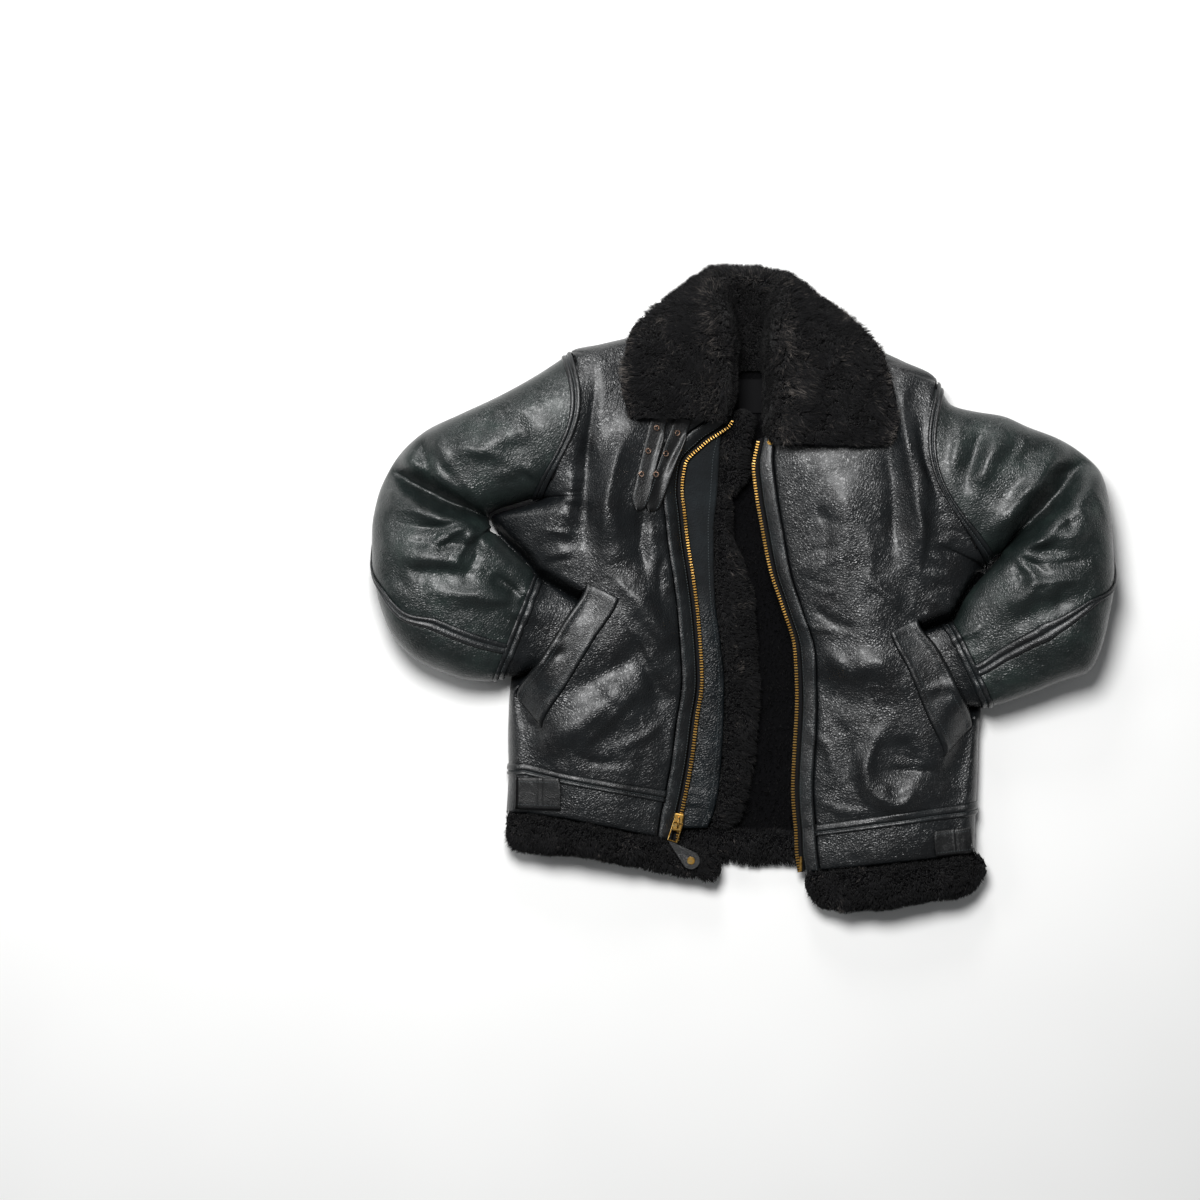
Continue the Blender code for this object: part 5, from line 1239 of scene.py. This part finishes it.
def make_sleeve(side, sleeve):
    last = sleeve["table"][-1][0]
    rows = np.concatenate((np.linspace(0, 15, 131), np.linspace(15, CUFF_SECTION, 17)[1:]))
    for name, angles in (("top", top_angles), ("under", under_angles)):
        points, normals = sleeve_surface(sleeve, rows, angles)
        rolled = sewn_down(points, normals, depth=1.4)
        cloth(f"sleeve_leather_{name}_{side}", rolled, normals, [sleeve_leather, lining],
              [f"sleeve_{name}_{side}"])
    points, normals = sleeve_surface(sleeve, np.linspace(CUFF_SECTION, last, 34), whole_angles)
    cloth(f"cuff_leather_{side}", points, normals, [body_leather, lining], [f"cuff_{side}"])
    tapes = (
        ("armhole_tape", np.linspace(0, 3, 61), over_angles, ARMHOLE_TAPE),
        ("cuff_tape", sleeve["tape_from"] + np.linspace(0, 1.2, 47), across_angles, CUFF_TAPE),
    )
    for name, steps, angles, wide in tapes:
        points, normals = band_of(*sleeve_surface(sleeve, steps, angles), wide)
        height = beads(np.linspace(0, 1, len(points)))[:, None, None]
        cloth(f"{name}_leather_{side}", points + normals * height, normals, [tape_leather],
              [f"{name}_{side}"], thick=TAPE_PLY)
        middle = len(points) // 2
        sew(points[middle], normals[middle], TAPE_STITCH_LIFT)
    points, normals = sleeve_surface(sleeve, np.linspace(0.42, sleeve["tape_from"] + 0.1, 150), seam_angles)
    height = beads(np.linspace(0, 1, points.shape[1]))[None, :, None]
    cloth(f"sleeve_tape_leather_{side}", points + normals * height, normals, [tape_leather],
          [f"sleeve_tape_{side}"], thick=TAPE_PLY)
    middle = points.shape[1] // 2
    sew(points[:, middle], normals[:, middle], TAPE_STITCH_LIFT)


def collar_surface(steps, at):
    """The leather side of the collar: up from the neck, over the roll and out along the leaf."""
    held = read(COLLAR_COLUMNS, COLLAR, steps)
    neck, roll, leaf = [place_of(held, name) for name in ("neck", "roll", "leaf")]
    flat = (1, 1, 0)
    length = np.linalg.norm((leaf - roll) * flat, axis=1)[:, None]
    out = unit((leaf - roll) * flat)
    up = np.array((0, 0, 1.0))
    depth = np.clip(length * 0.5 / (COLLAR_WOOL + ROLL_RADIUS), 0, 1)
    inner = roll + depth * (out * COLLAR_WOOL - up * (COLLAR_WOOL + ROLL_RADIUS * 1.6))
    crest = roll + depth * (out * (COLLAR_WOOL + ROLL_RADIUS) - up * COLLAR_WOOL)
    outer = leaf - up * COLLAR_WOOL
    base = neck + depth * out * COLLAR_WOOL * 0.6
    foot = base + (inner - base) * 0.5 - up * 3
    middle = crest + (outer - crest) * 0.5 + up * 5
    controls = np.stack((base, foot, inner, crest, middle, outer), axis=1)
    keys = np.array((0.0, 1.0, 1.9, 2.4, 3.5, 4.6))
    points = np.empty((len(steps), len(at), 3))
    for i in range(len(steps)):
        for axis in range(3):
            points[i, :, axis] = smooth(keys, controls[i, :, axis], at)
    points[..., 2] -= COLLAR_SEAT
    return points


def make_collar():
    steps = np.linspace(0, 17, 96)
    at = np.linspace(0, 4.6, 58)
    points = collar_surface(steps, at)
    normals = grid_normals(points)
    if normals[17, 48, 2] < 0:
        normals = -normals
    thick = COLLAR_WOOL * np.interp(at, [0, 0.6, 1.2, 4.0, 4.6], [0.4, 0.7, 1, 1, 0.6])[None]
    thick = thick * np.interp(steps, [0, 1, 16, 17], [0.6, 1, 1, 0.6])[:, None]
    cloth("collar_skin", points - normals * (COLLAR_LEATHER + SEAM), -normals, [body_leather],
          ["collar_leather"], thick=COLLAR_LEATHER)
    waves = 2.6 * ripple(points, 56, 71) + 1.7 * ripple(points, 22, 72)
    wool_top = points + normals * (thick * 0.52 + waves * np.clip(thick / COLLAR_WOOL, 0, 1))[..., None]
    cloth("collar_fleece", wool_top, normals, [wool_ground], ["collar_wool"], thick=COLLAR_FLEECE)
    along_leaf = np.gradient(points, axis=1)
    combed = unit(along_leaf) * 0.55 + (0, -0.35, 0)
    # Paler tips along the roll's crest and the leaf's outer edge: partly real rubbing, partly painted
    # highlight. Darker tips inside the stand towards the neck: painted shade in the recess.
    wear_and_painted_light = 0.26 * np.exp(-(((at - 2.5) / 0.35) ** 2)) + 0.3 * np.exp(-(((at - 4.6) / 0.3) ** 2))
    wear_and_painted_light -= 0.5 * ease((2.2 - at) / 0.3)
    locks("collar_pile", wool_top, normals, 52000, thick * 0.7, wool, 73, comb=combed, lean=0.66, clump=7.0,
          width=1.5, wear_and_painted_light=np.broadcast_to(wear_and_painted_light, points.shape[:2]))


def drawn_in(number, last):
    """How far a roll of wool is open at a section: wholly along it, and less at its two ends."""
    ends = min(number, last - number)
    return math.sqrt(max(0.04, 1 - max(0.0, 1 - ends / CLOSING) ** 2))


def roll_section(near, far, middle_z, half_z, count):
    """An upright section through a roll of wool, and its outward normals."""
    place = {"in_x": near[0], "in_y": near[1], "out_x": far[0], "out_y": far[1], "low": middle_z - half_z,
             "high": middle_z + half_z, "in_z": middle_z, "bow": 0}
    return ring(place, np.linspace(15, 375, count))


def hem_fleece(name, node, row, table, low, least, count, seed):
    """A hem's band of shearling, folded wool side out under the waistband's lower edge."""
    held = columns(HEM_COLUMNS, table)
    row = np.asarray(row, float)
    runs = distances(row)
    sections = 110
    at = np.linspace(0, runs[-1], sections)
    row = points_at(row, runs, at)
    points, normals = [], []
    for number, (x, y, z) in enumerate(row):
        bottom = float(smooth(held["x"], held["bottom_y"], x))
        high = max(z + 6, least)
        small = drawn_in(number, sections - 1)
        middle_y, middle_z = 0.5 * (y + bottom), 0.5 * (low + high)
        half_y, half_z = 0.5 * (y - bottom) - 3.0, 0.5 * (high - low) - 2.5
        half_y, half_z = half_y * small, half_z * small
        section, outward = roll_section((x, middle_y + half_y), (x + 1e-3, middle_y - half_y), middle_z,
                                        half_z, 37)
        points.append(section)
        normals.append(outward)
    points, normals = np.array(points), np.array(normals)
    points += normals * (1.8 * ripple(points, 40, seed) + 0.9 * ripple(points, 16, seed + 1))[..., None]
    points[..., 2] = np.maximum(points[..., 2], low + 0.3)
    cloth(name, points, normals, [wool_ground], [node], thick=HEM_FLEECE)
    reach = np.where(normals[..., 2] < -0.6, 1.5, 6.5)
    locks(name.replace("fleece", "pile"), points, normals, count, reach, wool, seed + 2, comb=(0, -0.5, 0),
          lean=0.55, clump=5.5, width=1.5, keep=lambda roots: roots[:, 2] > low + 2.0)


def make_hems(right_points, left_points, back_points):
    kept = [j for j in range(3, right_points.shape[1]) if j != TURN_COLUMNS]
    past_zip = [(-78, -331, 27), (-54, -338, 27), (-30, -345, 26)]
    past_side = [(308, -344, 14), (315, -346, 14)]
    right_row = list(right_points[0, kept]) + past_zip
    hem_fleece("hem_fleece_right", "hem_wool_right", right_row, RIGHT_HEM, 21, 34, 17000, 81)
    left_row = list(left_points[0, kept][::-1]) + past_side
    hem_fleece("hem_fleece_left", "hem_wool_left", left_row, LEFT_HEM, 21, 34, 16000, 84)
    back_row = back_points[0, 10:-10] * (1, 1, 0) + (0, 6, 0)
    hem_fleece("hem_fleece_back", "hem_wool_back", back_row, BACK_HEM, 0, 17, 18000, 87)


def make_flap(front_points):
    """The wind flap under the zip: leather, then a strip of wool along its free edge."""
    rows = [FLAP_TOP] + FLAP
    sections = 130
    at = np.linspace(rows[0][0], rows[-1][0], sections)
    held = read(FLAP_COLUMNS.replace("y ", "minus_y ", 1), [(-row[0],) + row[1:] for row in rows], -at)
    edge = front_points[:, -1]
    order = np.argsort(edge[:, 1])
    zip_x = np.interp(at, edge[order, 1], edge[order, 0])
    zip_z = np.interp(at, edge[order, 1], edge[order, 2])
    start = np.column_stack((zip_x - 9, at, zip_z - WALL - 1.6))
    finish = np.column_stack((held["edge_x"], at, held["edge_z"]))
    shares = np.linspace(0, 1, 22)
    points = np.stack([start + (finish - start) * share for share in shares], axis=1)
    points[..., 2] += 0.5 * ripple(points, 30, 91) * shares + fold_height(points, FLAP_RIDGES)
    points[..., 2] += 3.5 * np.sin(math.pi * shares**1.3)
    up = grid_normals(points)
    up *= np.where(up[..., 2:] < 0, -1, 1)
    cloth("wind_flap_leather", points, up, [flap_leather], ["wind_flap"], thick=FLAP_PLY)
    sew(points[:, 18], up[:, 18], 0.1)
    rings, outward = [], []
    flap_rows = zip(at, held["edge_x"], held["rim_x"], held["edge_z"])
    for number, (y, edge_x, rim_x, edge_z) in enumerate(flap_rows):
        low = max(BACK_WALL + SEAM + 0.05, edge_z - 15)
        small = drawn_in(number, sections - 1)
        middle_x, half_x = 0.5 * (edge_x + rim_x), (0.5 * (rim_x - edge_x) - 2.5) * small
        middle_z, half_z = 0.5 * (low + edge_z + 3), (0.5 * (edge_z + 3 - low) - 2.0) * small
        section, away = roll_section((middle_x - half_x, y), (middle_x + half_x, y + 1e-3), middle_z,
                                     half_z, 31)
        rings.append(section)
        outward.append(away)
    points, normals = np.array(rings), np.array(outward)
    points += normals * (1.4 * ripple(points, 26, 93) + 0.7 * ripple(points, 12, 95))[..., None]
    cloth("wind_flap_fleece", points, normals, [wool_ground], ["wind_flap_wool"], thick=FLAP_FLEECE)
    reach = np.where(normals[..., 2] < -0.5, 1.0, 5.6)
    locks("wind_flap_pile", points, normals, 22000, reach, flap_wool, 94, comb=(0.7, -0.3, 0), lean=0.65,
          clump=6.0, width=1.5, keep=lambda roots: roots[:, 2] > BACK_WALL + 2.0)


def cad_height(name):
    """A function giving the height in millimetres of the top of a node of the frame, from above."""
    mesh = bpy.data.objects[name].data
    corners = [vertex.co / MM for vertex in mesh.vertices]
    tree = BVHTree.FromPolygons(corners, [tuple(face.vertices) for face in mesh.polygons])
    return lambda x, y: tree.ray_cast(Vector((x, y, 400)), Vector((0, 0, -1)))[0]


def laid_strip(name, node, start, finish, width, taper=0.0, doubled=False):
    """A strap or tab on its solid's seat, its edges turned down. A doubled one is thicker at its end."""
    rows = 60
    height = cad_height(node)
    start, finish = np.array(start, float), np.array(finish, float)
    way = unit(finish - start)
    side = np.array((-way[1], way[0]))
    along = np.linspace(0, 1, rows)
    across = np.linspace(-1, 1, 15)
    length = np.linalg.norm(finish - start)
    half = np.full(rows, width / 2.0)
    if taper:
        left = (1 - along) * length
        half *= np.clip(1 - np.clip(1 - left / taper, 0, 1) ** 2.2, 0.02, 1) ** 0.6
    centre = start + along[:, None] * (finish - start)
    plan = centre[:, None] + across[None, :, None] * half[:, None, None] * side
    z = np.full(plan.shape[:2], np.nan)
    for i in range(rows):
        for j in range(len(across)):
            inward = centre[i] + (plan[i, j] - centre[i]) * 0.9
            hit = height(*inward)
            if hit is not None:
                z[i, j] = hit.z
    level = np.nanmean(z)
    z = np.where(np.isnan(z), level, z)
    for _ in range(6):
        z[1:-1] = (z[:-2] + 2 * z[1:-1] + z[2:]) / 4
        z[:, 1:-1] = (z[:, :-2] + 2 * z[:, 1:-1] + z[:, 2:]) / 4
    z += 0.3 - 1.1 * np.abs(across)[None] ** 8
    if doubled:
        z += (1.1 * ease((along - 0.58) / 0.04) + 0.9 * np.exp(-(((along - 0.52) / 0.03) ** 2)))[:, None]
    points = np.dstack((plan, z))
    up = grid_normals(points)
    up *= np.where(up[..., 2:] < 0, -1, 1)
    cloth(name, points, up, [strap_leather], [node], thick=STRAP_PLY)
    for at in (2, 12):
        sew(points[2:-3, at], up[2:-3, at], 0.1)


def make_straps_and_tabs():
    for name, (start, tip) in STRAPS.items():
        laid_strip(f"{name}_leather", name, start, tip, STRAP_WIDTH, taper=16.0)
    for side, (start, finish, width) in TABS.items():
        laid_strip(f"adjuster_tab_leather_{side}", f"adjuster_tab_{side}", start, finish, width, doubled=True)


def make_stitches():
    """Every line of stitches, as grains of waxed thread in one mesh."""
    places, ways, lifts = [], [], []
    for line, normals in seams_to_sew:
        found = spaced(line, normals, STITCH_PITCH)
        places.append(found[0])
        ways.append(found[1])
        lifts.append(found[2])
    grain = small_shape(bmesh.ops.create_uvsphere, STITCH_SIZE, u_segments=4, v_segments=3, radius=1.0)
    scatter("stitches", grain, np.concatenate(places), np.concatenate(ways), np.concatenate(lifts), thread)


def light(name, place, towards, size, power):
    """A white disk of light, its size in metres and its power in watts."""
    lamp = bpy.data.lights.new(name, "AREA")
    lamp.shape = "DISK"
    lamp.size = size
    lamp.energy = power
    obj = bpy.data.objects.new(name, lamp)
    obj.location = place
    obj.rotation_euler = (Vector(towards) - Vector(place)).to_track_quat("-Z", "Y").to_euler()
    bpy.context.scene.collection.objects.link(obj)


def make_studio():
    """A white floor, soft light from the top and left of the picture, and the camera straight above."""
    bm = bmesh.new()
    bmesh.ops.create_grid(bm, x_segments=1, y_segments=1, size=6)
    bmesh.ops.translate(bm, verts=bm.verts, vec=(0, 0, -0.0005))
    mesh = bpy.data.meshes.new("studio_floor")
    bm.to_mesh(mesh)
    bm.free()
    floor = bpy.data.objects.new("studio_floor", mesh)
    bpy.context.scene.collection.objects.link(floor)
    material, tree, shader, place = blank("painted_board_white")
    dapple = add(tree, "ShaderNodeTexNoise", {"Scale": 3.0, "Detail": 2.0}, {"Vector": place})
    base = add(tree, "ShaderNodeValToRGB", links={0: dapple.outputs[0]},
               stops=[(0.3, "#f3f3f2"), (0.7, "#f6f6f5")])
    settle(tree, shader, {"Roughness": 0.9}, {"Base Color": base.outputs[0]})
    mesh.materials.append(material)
    world = bpy.data.worlds.new("studio")
    world.use_nodes = True
    world.node_tree.nodes["Background"].inputs["Color"].default_value = linear("#f4f6f8")
    world.node_tree.nodes["Background"].inputs["Strength"].default_value = 0.16
    bpy.context.scene.world = world
    light("key", (-0.42, 1.0, 2.45), (0, 0, 0), 1.1, 84.0)
    light("top", (-0.2, 2.2, 1.2), (0, 0, 0), 0.7, 14.0)
    light("left", (-2.0, 0.5, 1.5), (-0.1, 0, 0), 0.9, 8.0)
    lens = bpy.data.cameras.new("camera")
    lens.lens = CAMERA_LENS
    camera = bpy.data.objects.new("camera", lens)
    camera.location = CAMERA_PLACE
    bpy.context.scene.collection.objects.link(camera)
    bpy.context.scene.camera = camera
    bpy.context.scene.view_settings.view_transform = "Standard"


# Leathers: three shades from the deepest to the palest, roughness, grain and relief.
body_leather = leather("sheepskin_leather_black_green", "#08090b", "#0d1012", "#15181a", 0.34)
sleeve_leather = leather("sheepskin_leather_sleeve", "#0d1413", "#141c1b", "#1e2926", 0.37)
tape_leather = leather("sheepskin_tape_leather", "#050607", "#0b0e10", "#13181a", 0.36, 2.6, 0.00035)
strap_leather = leather("bridle_leather_black", "#040405", "#090a0b", "#121415", 0.42, 2.2, 0.0003)
flap_leather = leather("sheepskin_flap_leather", "#070a0c", "#0d1215", "#161c1f", 0.36, matt_above=-14.0)
wool = fleece("shearling_wool_black", "#020203", "#0f0f11", "#6b6560", 0.08)
# The flap's wool: the collar's shearling made a little paler, as painted highlight on the raised strip.
flap_wool = fleece("shearling_wool_flap_painted_highlight", "#030304", "#121213", "#6e6862", 0.08)
# The back's inside wool: the same shearling in far darker colours and without sheen, as painted shade deep
# between the fronts.
inside_wool_painted_shade = fleece("shearling_wool_inside_painted_shade", "#010101", "#040405", "#141313", 0.0)
wool_ground = felted("shearling_wool_ground", "#020203", "#08080a")
lining = felted("shearling_lining", "#030304", "#0a0a0b")
brass = aged_metal("aged_brass", "#76592a", "#bb9149", "#ecce8b", 0.3)
copper = aged_metal("aged_copper", "#7d6a60", "#b8a294", "#f1e2d6", 0.3)
thread = woven("waxed_thread", "#33393b", "#666e70", 0.6)
zip_weave = woven("zip_tape_cotton", "#0b0b0c", "#1c1c1e", 1.1)
label_weave = woven("label_satin_black", "#050506", "#101012", 0.9)

RIGHT = {"table": RIGHT_FRONT, "sleeve": RIGHT_SLEEVE, "zip_side": 1, "seed": 31, "folds": RIGHT_BODY_FOLDS}
LEFT = {"table": LEFT_FRONT, "sleeve": LEFT_SLEEVE, "zip_side": -1, "seed": 32, "folds": LEFT_BODY_FOLDS}
RIGHT_ARM = {"table": RIGHT_SLEEVE, "seed": 33, "tape_from": 15.4,
             "folds": RIGHT_SLEEVE_FOLDS + radials(*RIGHT_ELBOW)}
LEFT_ARM = {"table": LEFT_SLEEVE, "seed": 34, "tape_from": 15.85,
            "folds": LEFT_SLEEVE_FOLDS + radials(*LEFT_ELBOW)}
for piece, bands in ((RIGHT, RIGHT_BODY_CRINKLES), (LEFT, LEFT_BODY_CRINKLES),
                     (RIGHT_ARM, RIGHT_SLEEVE_CRINKLES), (LEFT_ARM, LEFT_SLEEVE_CRINKLES)):
    for band in bands:
        piece["folds"] = piece["folds"] + crinkles(*band)

make_studio()
right_points = make_front("right", RIGHT)
left_points = make_front("left", LEFT)
back_points = make_back(RIGHT, LEFT)
make_sleeve("right", RIGHT_ARM)
make_sleeve("left", LEFT_ARM)
make_collar()
make_hems(right_points, left_points, back_points)
make_flap(right_points)
make_straps_and_tabs()
make_stitches()
for node in ("zip_slider", "zip_slider_bail", "zip_pull", "pull_tab_rivet", "throat_snap", "zip_end_pin"):
    dress(node, brass)
for strap in (1, 2):
    for number in (1, 2, 3):
        dress(f"strap_eyelet_{strap}_{number}", copper)
dress("pull_tab", strap_leather)
dress("neck_label", label_weave)
